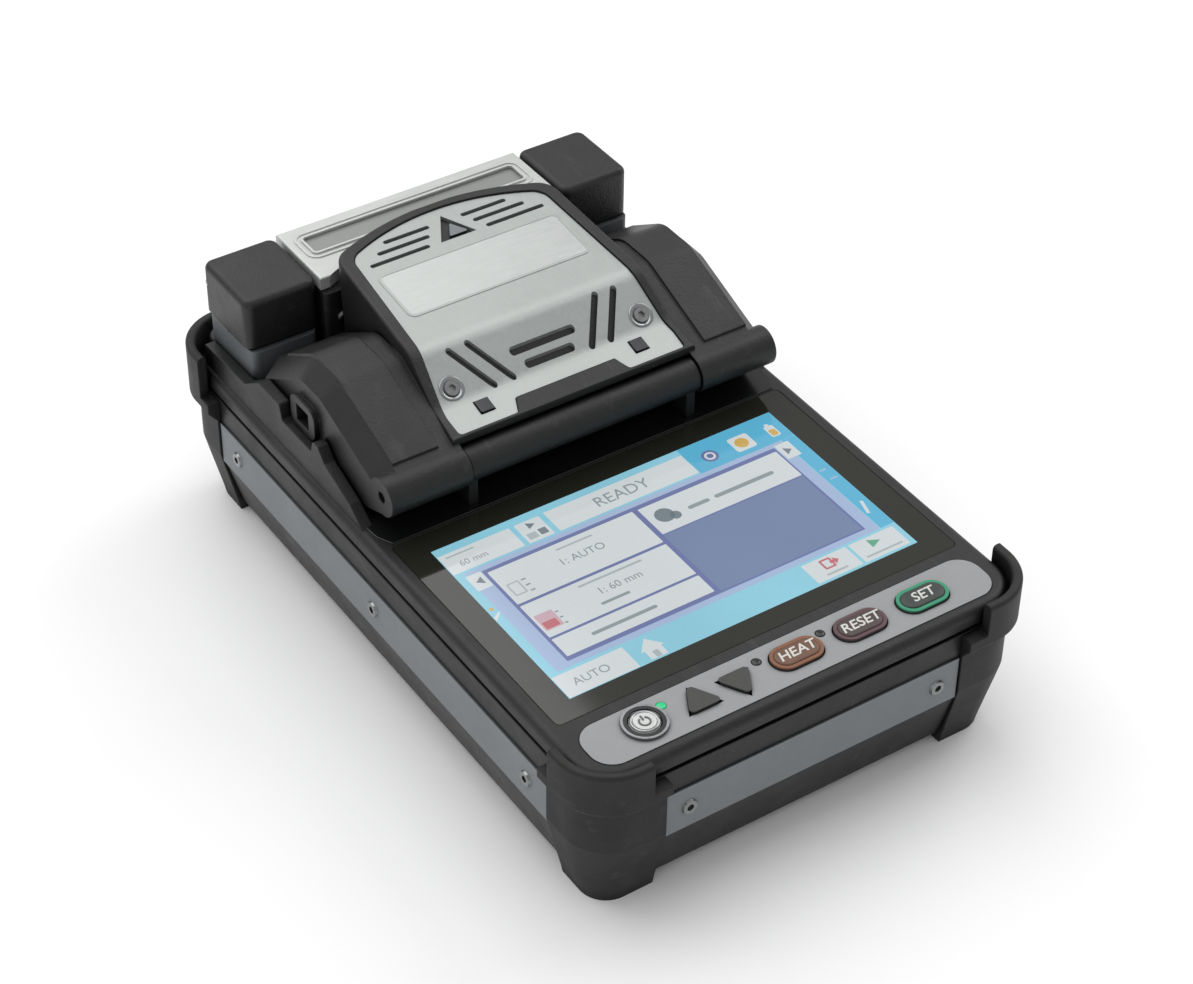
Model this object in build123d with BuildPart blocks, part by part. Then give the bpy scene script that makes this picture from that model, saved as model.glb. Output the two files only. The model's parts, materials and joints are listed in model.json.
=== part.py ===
"""Fiber fusion splicer: rubber-cornered case with a touch screen, a hinged wind protector
over the splice bay, and a tube heater behind it.

Millimetres. The origin is the middle of the footprint, on the surface that the splicer stands
on. +X is the operator's right, +Y points to the back, +Z points up.
"""
from build123d import *
import math
import os

os.makedirs("parts", exist_ok=True)

# --- driving dimensions: case -------------------------------------------------------------
CASE_W = 124.0            # width of both case halves, along X
CASE_D = 193.6            # depth of both case halves, along Y
CASE_R = 11.0             # corner radius in plan
CASE_WALL = 2.5
FLOOR_Z = 3.0             # underside of the lower case
FLOOR_T = 3.0
TAPER_Z = 18.5            # below this the lower case slopes inwards
TAPER_IN = 4.4            # how far it has come in at the floor
SEAM_Z = 38.5             # where the two case halves meet
SEAM_GAP = 1.3            # height of the shadow groove above the seam
SEAM_INSET = 1.2
DECK_Z = 44.3             # flat top of the upper case
DECK_T = 2.5
HALF_W = CASE_W / 2
HALF_D = CASE_D / 2
TAPER_DEG = math.degrees(math.atan(TAPER_IN / (TAPER_Z - FLOOR_Z)))

# --- driving dimensions: trim strips -------------------------------------------------------
STRIP_LOW_Z = 18.8
STRIP_HIGH_Z = 31.5
STRIP_MID_Z = (STRIP_LOW_Z + STRIP_HIGH_Z) / 2
STRIP_H = STRIP_HIGH_Z - STRIP_LOW_Z
STRIP_T = 1.5
STRIP_SUNK = 1.0          # how far a strip is let into the wall
SIDE_STRIP_L = 157.2
FRONT_STRIP_L = 85.2
SIDE_SCREW_Y = 69.5
FRONT_SCREW_X = 36.1
STRIP_SCREW_R = 1.2
RUN_GAP = 0.05            # radial gap of a pin or screw in its hole

# --- driving dimensions: display and button panel ------------------------------------------
GLASS_W, GLASS_FRONT_Y, GLASS_BACK_Y, GLASS_T, GLASS_R = 116.0, -75.7, -1.7, 1.0, 1.6
LCD_W, LCD_FRONT_Y, LCD_BACK_Y = 105.0, -71.0, -9.0
PANEL_W, PANEL_D, PANEL_Y, PANEL_R, PANEL_T = 114.4, 14.6, -86.3, 6.0, 1.0
PANEL_TOP_Z = DECK_Z + 0.1
KEY_GAP = 0.3             # all-round gap between a key and its hole
POWER_XY = (-41.0, -85.7)
UP_XY = (-26.4, -86.6)
DOWN_XY = (-15.2, -86.0)
PILL_KEYS = {"heat": (1.6, -85.9), "reset": (20.0, -86.1), "set": (38.5, -86.3)}
PILL_L, PILL_H = 14.0, 7.8
POWER_R = 3.7
TRIANGLE_R = 5.0
LED_XY = {"green": (-34.6, -82.9), "ready": (-7.8, -82.9), "heater": (10.5, -83.1)}
LED_R = 1.3

# --- driving dimensions: splice bay and wind protector -------------------------------------
HINGE_Y, HINGE_Z = 3.2, 56.0       # axis of the wind protector, along X
HINGE_BAR_R = 4.6
HINGE_NOSE_R = 5.2
HINGE_PIN_R = 1.5
COVER_POINTS = [(4.6, 62.9), (14.6, 65.4), (27.0, 74.4), (74.0, 79.7)]  # (Y, Z) top line
COVER_BEND_R = 9.0
RIM_RISE = 0.5            # how far the black rim stands above the metal plate
PLATE_T = 1.0
COVER_WALL = 2.4
WING_IN_X, WING_OUT_X = 34.2, 57.0
WING_POINTS = [(HINGE_Y, 61.2), (31.0, 71.6), (43.0, 71.6), (61.5, 60.0)]
WING_LOW_Z = 47.3
COVER_BACK_Y = 61.5
FIBER_Y, FIBER_Z = 39.0, 57.0      # line of the two fibers, along X

# --- driving dimensions: tube heater -------------------------------------------------------
HEATER_AXIS_Y, HEATER_AXIS_Z = 89.5, 67.6
HEATER_HALF_W = 36.4
HEATER_FRONT_Y, HEATER_BACK_Y = 65.5, 91.5
HEATER_TOP_Z = 70.0
RISER_Z = 50.0            # top of the raised rear part of the upper case
CLAMP_IN_X, CLAMP_OUT_X = 37.2, 58.0

# --- driving dimensions: battery -----------------------------------------------------------
BAY_HALF_W, BAY_LOW_Z, BAY_HIGH_Z, BAY_FRONT_Y = 40.3, 6.3, 33.3, 33.0
BATTERY_GAP = 0.4
BOSS_XY = [(sx * 48.0, sy * 82.0) for sx in (-1, 1) for sy in (-1, 1)]


def save(piece, label):
    """Label a finished piece and write it out."""
    piece.part.label = label
    export_step(piece.part, f"parts/{label}.step")


def block(x0, x1, y0, y1, z0, z1, mode=Mode.ADD):
    """Box between two corners, used inside a part's own block."""
    with Locations(((x0 + x1) / 2, (y0 + y1) / 2, (z0 + z1) / 2)):
        Box(abs(x1 - x0), abs(y1 - y0), abs(z1 - z0), mode=mode)


def rod_x(y, z, x0, x1, radius, mode=Mode.ADD):
    """Cylinder along X, used inside a part's own block."""
    with Locations(((x0 + x1) / 2, y, z)):
        Cylinder(radius, abs(x1 - x0), rotation=(0, 90, 0), mode=mode)


def lifted(points, rise):
    """The same (Y, Z) line, raised by rise."""
    return [(y, z + rise) for y, z in points]


# ===== lower case ==========================================================================
with BuildPart() as lower_case:
    with BuildSketch(Plane.XY.offset(TAPER_Z)) as outline:
        RectangleRounded(CASE_W, CASE_D, CASE_R)
    extrude(amount=SEAM_Z - TAPER_Z)
    extrude(outline.sketch, amount=TAPER_Z - FLOOR_Z, dir=(0, 0, -1), taper=TAPER_DEG)
    with BuildSketch(Plane.XY.offset(TAPER_Z)) as hollow:
        RectangleRounded(CASE_W - 2 * CASE_WALL, CASE_D - 2 * CASE_WALL, CASE_R - CASE_WALL)
    extrude(amount=SEAM_Z, mode=Mode.SUBTRACT)
    extrude(hollow.sketch, amount=TAPER_Z - FLOOR_Z - FLOOR_T, dir=(0, 0, -1), taper=TAPER_DEG,
            mode=Mode.SUBTRACT)
    # battery bay: a walled tunnel from the back
    bay_wall = 1.6
    block(-BAY_HALF_W - bay_wall, BAY_HALF_W + bay_wall, BAY_FRONT_Y - bay_wall,
          HALF_D - CASE_WALL, FLOOR_Z + FLOOR_T, BAY_HIGH_Z + bay_wall)
    block(-BAY_HALF_W, BAY_HALF_W, BAY_FRONT_Y, HALF_D + 1, BAY_LOW_Z, BAY_HIGH_Z, Mode.SUBTRACT)
    # bosses for the case screws and for the tripod insert
    with Locations(*[(x, y, (FLOOR_Z + SEAM_Z) / 2) for x, y in BOSS_XY]):
        Cylinder(3.5, SEAM_Z - FLOOR_Z)
    with Locations(*[(x, y, (FLOOR_Z + SEAM_Z) / 2) for x, y in BOSS_XY]):
        Cylinder(1.4, SEAM_Z, mode=Mode.SUBTRACT)
    with Locations(*[(x, y, FLOOR_Z + 1.0) for x, y in BOSS_XY]):
        Cylinder(3.0, 2.0, mode=Mode.SUBTRACT)
    with Locations((0, -20, FLOOR_Z + 5)):
        Cylinder(8.0, 10)
        Cylinder(5.0, 10, mode=Mode.SUBTRACT)
    # pockets that the trim strips are let into
    for side in (-1, 1):
        x_out = side * (HALF_W - STRIP_SUNK / 2)
        with Locations((x_out, 0, STRIP_MID_Z)):
            Box(STRIP_SUNK, SIDE_STRIP_L, STRIP_H, mode=Mode.SUBTRACT)
    with Locations((0, -HALF_D + STRIP_SUNK / 2, STRIP_MID_Z)):
        Box(FRONT_STRIP_L, STRIP_SUNK, STRIP_H, mode=Mode.SUBTRACT)
    # screw holes behind the strips
    for y in (-SIDE_SCREW_Y, 0, SIDE_SCREW_Y):
        for side in (-1, 1):
            rod_x(y, STRIP_MID_Z, side * HALF_W - 4, side * HALF_W + 4, STRIP_SCREW_R, Mode.SUBTRACT)
    with Locations((-FRONT_SCREW_X, -HALF_D, STRIP_MID_Z), (FRONT_SCREW_X, -HALF_D, STRIP_MID_Z)):
        Cylinder(STRIP_SCREW_R, 8, rotation=(90, 0, 0), mode=Mode.SUBTRACT)
    # power and data inlets low in the right side
    block(HALF_W - 6, HALF_W + 1, 55.4, 64.6, 8.2, 17.4, Mode.SUBTRACT)
    block(HALF_W - 6, HALF_W + 1, 38.4, 47.6, 10.7, 14.9, Mode.SUBTRACT)
save(lower_case, "lower_case")

# ===== upper case ==========================================================================
SHOULDER_IN_X, SHOULDER_OUT_X = 57.6, 60.6
SHOULDER_POINTS = [(7.0, DECK_Z), (13.0, 48.6), (25.0, 53.0), (28.0, 56.4), (30.6, 56.4),
                   (31.6, 52.6), (46.4, 52.6), (47.4, 57.0), (58.0, 57.0), (66.0, 51.5),
                   (88.0, RISER_Z + 0.6), (88.0, DECK_Z)]
with BuildPart() as upper_case:
    with BuildSketch(Plane.XY.offset(SEAM_Z)):
        RectangleRounded(CASE_W - 2 * SEAM_INSET, CASE_D - 2 * SEAM_INSET, CASE_R - SEAM_INSET)
    extrude(amount=SEAM_GAP)
    with BuildSketch(Plane.XY.offset(SEAM_Z + SEAM_GAP)):
        RectangleRounded(CASE_W, CASE_D, CASE_R)
    extrude(amount=DECK_Z - SEAM_Z - SEAM_GAP)
    fillet(upper_case.faces().sort_by(Axis.Z)[-1].edges(), 2.2)
    # raised rear part under the heater
    with BuildSketch(Plane.XY.offset(DECK_Z)):
        with Locations((0, 79.0)):
            RectangleRounded(2 * SHOULDER_IN_X, 30.0, 4.0)
    extrude(amount=RISER_Z - DECK_Z)
    fillet(upper_case.faces().sort_by(Axis.Z)[-1].edges(), 1.0)
    # shoulders along both sides of the wind protector
    for side in (-1, 1):
        with BuildSketch(Plane.YZ.offset(side * (SHOULDER_IN_X + SHOULDER_OUT_X) / 2)) as shoulder:
            with BuildLine():
                Polyline(*SHOULDER_POINTS, close=True)
            make_face()
            fillet(shoulder.vertices().filter_by(lambda v: v.Y > DECK_Z + 1), 0.9)
        extrude(amount=(SHOULDER_OUT_X - SHOULDER_IN_X) / 2, both=True)
    # hollow underside
    inner_w = CASE_W - 2 * (SEAM_INSET + CASE_WALL)
    inner_d = CASE_D - 2 * (SEAM_INSET + CASE_WALL)
    with BuildSketch(Plane.XY.offset(SEAM_Z)):
        RectangleRounded(inner_w, inner_d, CASE_R - SEAM_INSET - CASE_WALL)
    extrude(amount=DECK_Z - DECK_T - SEAM_Z, mode=Mode.SUBTRACT)
    block(-54.5, 54.5, 67.0, 91.0, SEAM_Z, RISER_Z - DECK_T, Mode.SUBTRACT)
    # seats of the display glass and the button panel
    glass_y = (GLASS_FRONT_Y + GLASS_BACK_Y) / 2
    glass_d = GLASS_BACK_Y - GLASS_FRONT_Y
    with BuildSketch(Plane.XY.offset(DECK_Z)):
        with Locations((0, glass_y)):
            RectangleRounded(GLASS_W, glass_d, GLASS_R)
    extrude(amount=-GLASS_T, mode=Mode.SUBTRACT)
    block(-LCD_W / 2, LCD_W / 2, LCD_FRONT_Y, LCD_BACK_Y, SEAM_Z, DECK_Z + 1, Mode.SUBTRACT)
    with BuildSketch(Plane.XY.offset(DECK_Z)):
        with Locations((0, PANEL_Y)):
            RectangleRounded(PANEL_W, PANEL_D, PANEL_R)
    extrude(amount=-PANEL_T + 0.1, mode=Mode.SUBTRACT)
    # holes for the keys
    with BuildSketch(Plane.XY.offset(DECK_Z)):
        with Locations(POWER_XY):
            Circle(POWER_R + KEY_GAP)
        with Locations(UP_XY):
            RegularPolygon(TRIANGLE_R + 2 * KEY_GAP, 3, rotation=90)
        with Locations(DOWN_XY):
            RegularPolygon(TRIANGLE_R + 2 * KEY_GAP, 3, rotation=-90)
        with Locations(*PILL_KEYS.values()):
            SlotOverall(PILL_L + 2 * KEY_GAP, PILL_H + 2 * KEY_GAP)
        with Locations(*LED_XY.values()):
            Circle(LED_R)
    extrude(amount=-DECK_T - 1, mode=Mode.SUBTRACT)
save(upper_case, "upper_case")

# ===== rubber corner bumpers ===============================================================
# Profile in (distance outwards from the case wall, height): foot, sloping lower band, middle
# band flush with the strips, and the thick upper band.
FOOT_POINTS = [(0.0, TAPER_Z), (-TAPER_IN, FLOOR_Z), (-10.0, FLOOR_Z), (-10.0, 0.0),
               (-3.6, 0.0), (-3.0, 3.0), (-0.1, 15.5), (1.0, 20.5), (1.0, 32.0), (3.5, 35.2)]
LOW_TOP_Z = 38.0
LIP_RUN = 3.0             # straight run of the lip each side of the corner
LIP_GAP = 0.9             # free gap between the lip and the rim of the upper case
FRONT_LEG_X = 42.8
SIDE_LEG_Y = 78.75


def bumper_points(reach, top_z):
    """Corners of the bumper's section; x is reach plus the distance outwards from the wall."""
    foot = [(reach + d, z) for d, z in FOOT_POINTS]
    if top_z == LOW_TOP_Z:
        return foot + [(reach + 3.5, top_z), (reach, top_z)]
    return foot + [(reach + 3.5, top_z), (reach + LIP_GAP, top_z), (reach + LIP_GAP, SEAM_Z),
                   (reach, SEAM_Z)]


def make_bumper(label, side_x, side_y, lip_z):
    """One corner bumper, made at the front right corner and mirrored to its own."""
    corner = (HALF_W - CASE_R, -HALF_D + CASE_R)
    with BuildPart() as bumper:
        # round the corner
        with BuildSketch(Plane(origin=(*corner, 0), x_dir=(1, 0, 0), z_dir=(0, -1, 0))) as section:
            with BuildLine():
                Polyline(*bumper_points(CASE_R, lip_z), close=True)
            make_face()
            fillet(section.vertices().filter_by(lambda v: v.Y > lip_z - 0.1), 1.1)
        revolve(axis=Axis((*corner, 0), (0, 0, -1)), revolution_arc=90)
        # straight legs: full height next to the corner, then low
        side_plane = Plane(origin=(*corner, 0), x_dir=(1, 0, 0), z_dir=(0, -1, 0))
        front_plane = Plane(origin=(*corner, 0), x_dir=(0, -1, 0), z_dir=(-1, 0, 0))
        for plane, lip_run, low_run in (
            (side_plane, -LIP_RUN, corner[1] + SIDE_LEG_Y),
            (front_plane, LIP_RUN, corner[0] - FRONT_LEG_X),
        ):
            with BuildSketch(plane) as section:
                with BuildLine():
                    Polyline(*bumper_points(CASE_R, lip_z), close=True)
                make_face()
                fillet(section.vertices().filter_by(lambda v: v.Y > lip_z - 0.1), 1.1)
            extrude(amount=lip_run)
            with BuildSketch(plane):
                with BuildLine():
                    Polyline(*bumper_points(CASE_R, LOW_TOP_Z), close=True)
                make_face()
            extrude(amount=low_run)
        if side_x < 0:
            mirror(about=Plane.YZ, mode=Mode.REPLACE)
        if side_y > 0:
            mirror(about=Plane.XZ, mode=Mode.REPLACE)
    save(bumper, label)


make_bumper("bumper_front_left", -1, -1, 46.8)
make_bumper("bumper_front_right", 1, -1, 46.8)
make_bumper("bumper_rear_left", -1, 1, 50.4)
make_bumper("bumper_rear_right", 1, 1, 50.4)

# ===== trim strips and their screws ========================================================
with BuildPart() as strip_front:
    block(-FRONT_STRIP_L / 2 + 0.2, FRONT_STRIP_L / 2 - 0.2, -HALF_D + STRIP_SUNK - STRIP_T,
          -HALF_D + STRIP_SUNK, STRIP_LOW_Z, STRIP_HIGH_Z)
    with Locations((-FRONT_SCREW_X, -HALF_D, STRIP_MID_Z), (FRONT_SCREW_X, -HALF_D, STRIP_MID_Z)):
        Cylinder(STRIP_SCREW_R + RUN_GAP, 8, rotation=(90, 0, 0), mode=Mode.SUBTRACT)
save(strip_front, "strip_front")


def make_side_strip(label, side):
    """Trim strip on the left (-1) or right (1) side."""
    with BuildPart() as strip:
        inner = side * (HALF_W - STRIP_SUNK)
        outer = inner + side * STRIP_T
        block(inner, outer, -SIDE_STRIP_L / 2 + 0.2,
              SIDE_STRIP_L / 2 - 0.2, STRIP_LOW_Z, STRIP_HIGH_Z)
        for y in (-SIDE_SCREW_Y, 0, SIDE_SCREW_Y):
            rod_x(y, STRIP_MID_Z, side * HALF_W - 4, side * HALF_W + 4,
                  STRIP_SCREW_R + RUN_GAP, Mode.SUBTRACT)
    save(strip, label)


make_side_strip("strip_left", -1)
make_side_strip("strip_right", 1)

SCREW_HEAD_R, SCREW_HEAD_T, SCREW_SHANK_L, HEX_R = 2.1, 0.6, 3.2, 1.0


STRIP_OUT = STRIP_T - STRIP_SUNK
SCREW_PLANES = [Plane(origin=(side * (HALF_W + STRIP_OUT), y, STRIP_MID_Z), z_dir=(side, 0, 0))
                for side in (-1, 1) for y in (-SIDE_SCREW_Y, 0, SIDE_SCREW_Y)]
SCREW_PLANES += [Plane(origin=(x, -HALF_D - STRIP_OUT, STRIP_MID_Z), z_dir=(0, -1, 0))
                 for x in (-FRONT_SCREW_X, FRONT_SCREW_X)]

# button-head screws: each plane lies under the head, with its normal pointing out
with BuildPart() as strip_screws:
    for plane in SCREW_PLANES:
        with BuildSketch(plane):
            Circle(SCREW_HEAD_R)
        extrude(amount=SCREW_HEAD_T, taper=20)
        with BuildSketch(plane):
            Circle(STRIP_SCREW_R)
        extrude(amount=-SCREW_SHANK_L)
        with BuildSketch(plane.offset(SCREW_HEAD_T)):
            RegularPolygon(HEX_R, 6)
        extrude(amount=-SCREW_HEAD_T - 0.6, mode=Mode.SUBTRACT)
save(strip_screws, "strip_screws")

# ===== display and button panel ============================================================
with BuildPart() as display_glass:
    with BuildSketch(Plane.XY.offset(DECK_Z - GLASS_T)):
        with Locations((0, glass_y)):
            RectangleRounded(GLASS_W - 0.3, glass_d - 0.3, GLASS_R - 0.15)
    extrude(amount=GLASS_T - 0.05)
save(display_glass, "display_glass")

with BuildPart() as lcd_module:
    block(-LCD_W / 2 + 0.5, LCD_W / 2 - 0.5, LCD_FRONT_Y + 0.5, LCD_BACK_Y - 0.5, 39.0,
          DECK_Z - GLASS_T - 0.2)
save(lcd_module, "lcd_module")

with BuildPart() as button_panel:
    with BuildSketch(Plane.XY.offset(PANEL_TOP_Z - PANEL_T)):
        with Locations((0, PANEL_Y)):
            RectangleRounded(PANEL_W - 0.3, PANEL_D - 0.3, PANEL_R - 0.15)
        with Locations(POWER_XY):
            Circle(POWER_R + KEY_GAP, mode=Mode.SUBTRACT)
        with Locations(UP_XY):
            RegularPolygon(TRIANGLE_R + 2 * KEY_GAP, 3, rotation=90, mode=Mode.SUBTRACT)
        with Locations(DOWN_XY):
            RegularPolygon(TRIANGLE_R + 2 * KEY_GAP, 3, rotation=-90, mode=Mode.SUBTRACT)
        with Locations(*PILL_KEYS.values()):
            SlotOverall(PILL_L + 2 * KEY_GAP, PILL_H + 2 * KEY_GAP, mode=Mode.SUBTRACT)
        with Locations(*LED_XY.values()):
            Circle(LED_R, mode=Mode.SUBTRACT)
    extrude(amount=PANEL_T)
save(button_panel, "button_panel")

# light pipes behind the holes of the panel
with BuildPart() as status_leds:
    for x, y in LED_XY.values():
        with Locations((x, y, (PANEL_TOP_Z + 41.0) / 2)):
            Cylinder(LED_R - RUN_GAP, PANEL_TOP_Z - 41.0)
save(status_leds, "status_leds")

BEZEL_OUT_R, BEZEL_T = 5.6, 0.8
with BuildPart() as power_button_bezel:
    with BuildSketch(Plane.XY.offset(PANEL_TOP_Z)):
        with Locations(POWER_XY):
            Circle(BEZEL_OUT_R)
            Circle(POWER_R + KEY_GAP, mode=Mode.SUBTRACT)
    extrude(amount=BEZEL_T)
    chamfer(power_button_bezel.faces().sort_by(Axis.Z)[-1].edges().sort_by(Edge.length)[0], 0.6)
save(power_button_bezel, "power_button_bezel")

KEY_TOP_Z, KEY_FLANGE_Z, KEY_FLANGE_T = 45.3, 40.2, 1.3

with BuildPart() as power_button:
    with BuildSketch(Plane.XY.offset(KEY_FLANGE_Z)):
        with Locations(POWER_XY):
            Circle(POWER_R + 1.2)
    extrude(amount=KEY_FLANGE_T)
    with BuildSketch(Plane.XY.offset(KEY_FLANGE_Z)):
        with Locations(POWER_XY):
            Circle(POWER_R)
    extrude(amount=KEY_TOP_Z - KEY_FLANGE_Z)
    fillet(power_button.faces().sort_by(Axis.Z)[-1].edges(), 0.5)
    # finger dimple
    with Locations((*POWER_XY, KEY_TOP_Z + 8.8)):
        Sphere(9.2, mode=Mode.SUBTRACT)
save(power_button, "power_button")


def make_triangle_key(label, centre, turn):
    """Triangular key with rounded corners, pointing along turn degrees from +X."""
    with BuildPart() as key:
        with BuildSketch(Plane.XY.offset(KEY_FLANGE_Z)) as base:
            with Locations(centre):
                RegularPolygon(TRIANGLE_R + 1.2, 3, rotation=turn)
        extrude(amount=KEY_FLANGE_T)
        with BuildSketch(Plane.XY.offset(KEY_FLANGE_Z)) as base:
            with Locations(centre):
                RegularPolygon(TRIANGLE_R, 3, rotation=turn)
            fillet(base.vertices(), 0.9)
        extrude(amount=KEY_TOP_Z - 0.3 - KEY_FLANGE_Z)
        fillet(key.faces().sort_by(Axis.Z)[-1].edges(), 0.4)
    save(key, label)


make_triangle_key("up_button", UP_XY, 90)
make_triangle_key("down_button", DOWN_XY, -90)

PILL_RIM_W = 0.9
for name, centre in PILL_KEYS.items():
    with BuildPart() as key:
        with BuildSketch(Plane.XY.offset(KEY_FLANGE_Z)):
            with Locations(centre):
                SlotOverall(PILL_L + 2.4, PILL_H + 2.4)
        extrude(amount=KEY_FLANGE_T)
        with BuildSketch(Plane.XY.offset(KEY_FLANGE_Z)):
            with Locations(centre):
                SlotOverall(PILL_L, PILL_H)
        extrude(amount=KEY_TOP_Z - 0.5 - KEY_FLANGE_Z)
        with BuildSketch(Plane.XY.offset(KEY_FLANGE_Z)):
            with Locations(centre):
                SlotOverall(PILL_L - 2 * PILL_RIM_W, PILL_H - 2 * PILL_RIM_W)
        extrude(amount=KEY_TOP_Z - KEY_FLANGE_Z)
        fillet(key.faces().sort_by(Axis.Z)[-1].edges(), 0.3)
    save(key, f"{name}_button")
    with BuildPart() as rim:
        with BuildSketch(Plane.XY.offset(KEY_TOP_Z - 0.5)):
            with Locations(centre):
                SlotOverall(PILL_L, PILL_H)
                SlotOverall(PILL_L - 2 * PILL_RIM_W, PILL_H - 2 * PILL_RIM_W, mode=Mode.SUBTRACT)
        extrude(amount=0.4)
    save(rim, f"{name}_button_rim")

with BuildPart() as main_board:
    block(-50, 50, -74, 28, 35.0, 36.6)
    block(-30, -12, -50, -32, 36.6, 38.2)
    block(5, 17, -40, -28, 36.6, 38.0)
    block(30, 44, -66, -52, 36.6, 38.4)
    for x in range(-40, 41, 10):
        block(x - 1.5, x + 1.5, 4, 8, 36.6, 38.4)
save(main_board, "main_board")

with BuildPart() as keypad_board:
    block(-44.3, 44.3, -93.0, -77.5, 36.4, 37.6)
    for x, y in (POWER_XY, UP_XY, DOWN_XY, *PILL_KEYS.values()):
        with Locations((x, y, 38.2)):
            Cylinder(3.0, 1.2)
save(keypad_board, "keypad_board")

# ===== hinge of the wind protector =========================================================
BAR_HALF_L = 33.8
PIN_HALF_L = 55.5
with BuildPart() as hinge_bar:
    rod_x(HINGE_Y, HINGE_Z, -BAR_HALF_L, BAR_HALF_L, HINGE_BAR_R)
    for side in (-1, 1):
        block(side * (BAR_HALF_L - 2.6), side * BAR_HALF_L, HINGE_Y - 2.2, HINGE_Y + 3.4, DECK_Z,
              HINGE_Z)
    rod_x(HINGE_Y, HINGE_Z, -BAR_HALF_L - 1, BAR_HALF_L + 1, HINGE_PIN_R, Mode.SUBTRACT)
save(hinge_bar, "hinge_bar")

with BuildPart() as hinge_pin:
    rod_x(HINGE_Y, HINGE_Z, -PIN_HALF_L, PIN_HALF_L, HINGE_PIN_R)
save(hinge_pin, "hinge_pin")

# ===== wind protector ======================================================================
RIM_POINTS = lifted(COVER_POINTS, RIM_RISE)
COVER_IN_Y = HINGE_Y + HINGE_NOSE_R + 0.1
PLATE_REAR_Y, PLATE_CORNER = 71.3, (28.6, 64.6)
PLATE_SIDE = [(31.2, 27.5), (33.4, 11.0), (33.2, 5.5), (16.6, 5.5), (14.7, 9.8)]
FRAME_REAR_Y, FRAME_CORNER = 74.2, (32.4, 66.9)
FRAME_SIDE = [(34.5, 27.5), (36.0, 3.4)]


def mirrored(side):
    """A right-hand run of (X, Y) points and then its mirror image, back to the rear."""
    return side + [(-x, y) for x, y in reversed(side)]


def plate_sheet(margin, low, high):
    """Solid between two lines parallel to the cover's top, trimmed to the plate's outline."""
    with BuildPart() as sheet:
        with BuildSketch(Plane.YZ):
            with BuildLine():
                top = FilletPolyline(*lifted(COVER_POINTS, high), radius=COVER_BEND_R)
                base = FilletPolyline(*lifted(COVER_POINTS, -low), radius=COVER_BEND_R)
                Line(top @ 0, base @ 0)
                Line(top @ 1, base @ 1)
            make_face()
        extrude(amount=40, both=True)
        with BuildSketch(Plane.XY.offset(50)) as plan:
            with BuildLine():
                corner_x, corner_y = PLATE_CORNER
                ThreePointArc((-corner_x, corner_y), (0, PLATE_REAR_Y), (corner_x, corner_y))
                Polyline((corner_x, corner_y), *mirrored(PLATE_SIDE), (-corner_x, corner_y))
            make_face()
            fillet(plan.vertices().group_by(Axis.Y)[-1], 5.0)
            fillet(plan.vertices().group_by(Axis.Y)[0], 0.9)
            if margin:
                offset(amount=margin, kind=Kind.ARC)
        extrude(amount=50, mode=Mode.INTERSECT)
    return sheet.part


def on_cover(x, y, run):
    """Plane on the plate's surface at (x, y), on the given straight run of the top line."""
    (y0, z0), (y1, z1) = COVER_POINTS[run], COVER_POINTS[run + 1]
    slope = math.atan2(z1 - z0, y1 - y0)
    return Plane(origin=(x, y, z0 + (y - y0) * math.tan(slope)), x_dir=(1, 0, 0),
                 z_dir=(0, -math.sin(slope), math.cos(slope)))


COVER_SCREW_XY = (28.1, 17.7)
COVER_SCREW_L = 2.2
COVER_SCREW_PLANES = [on_cover(side * COVER_SCREW_XY[0], COVER_SCREW_XY[1], 1)
                      for side in (-1, 1)]
POST_XY = (22.9, 11.0)
POST_SIDE = 3.8
SHELF_SLOPE = math.atan2(COVER_POINTS[1][1] - COVER_POINTS[0][1],
                         COVER_POINTS[1][0] - COVER_POINTS[0][0])
WING_INNER = [(10.9, 61.3), (31.2, 68.9), (42.4, 68.9), (58.9, 58.6)]
HUMP_INNER = [(10.9, 61.3), (15.6, 62.4), (28.0, 71.4), (61.4, 75.0)]
WING_CHAMFER = 4.6
PAD_IN_X, PAD_OUT_X, PAD_RISE = 39.5, WING_OUT_X - WING_CHAMFER, 0.7
PORT_Y0, PORT_Y1, PORT_Z0, PORT_Z1 = 36.0, 42.0, 55.0, 60.2
LOOP_L, LOOP_H, LOOP_T = 12.0, 9.4, 1.6


def make_wing(side):
    """Solid wing with its hinge nose and the raised pad on its top."""
    with BuildPart() as wing:
        with BuildSketch(Plane.YZ.offset(side * WING_IN_X)):
            with BuildLine():
                top = FilletPolyline(*WING_POINTS, radius=10)
                Polyline(top @ 1, (COVER_BACK_Y, WING_LOW_Z), (12.0, WING_LOW_Z),
                         (HINGE_Y, HINGE_Z - HINGE_NOSE_R), top @ 0)
            make_face()
        extrude(amount=side * (WING_OUT_X - WING_IN_X))
        flank = wing.faces().sort_by(Axis.X)[0 if side < 0 else -1]
        chamfer(flank.edges().filter_by(lambda e: e.center().Z > 61.0), WING_CHAMFER)
        rod_x(HINGE_Y, HINGE_Z, side * WING_IN_X, side * WING_OUT_X, HINGE_NOSE_R)
        with BuildSketch(Plane.YZ.offset(side * PAD_IN_X)):
            with BuildLine():
                high = FilletPolyline(*lifted(PAD_POINTS, PAD_RISE), radius=10)
                low = FilletPolyline(*lifted(PAD_POINTS, -1.0), radius=10)
                Line(high @ 0, low @ 0)
                Line(high @ 1, low @ 1)
            make_face()
        extrude(amount=side * (PAD_OUT_X - PAD_IN_X))
    return wing.part


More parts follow.
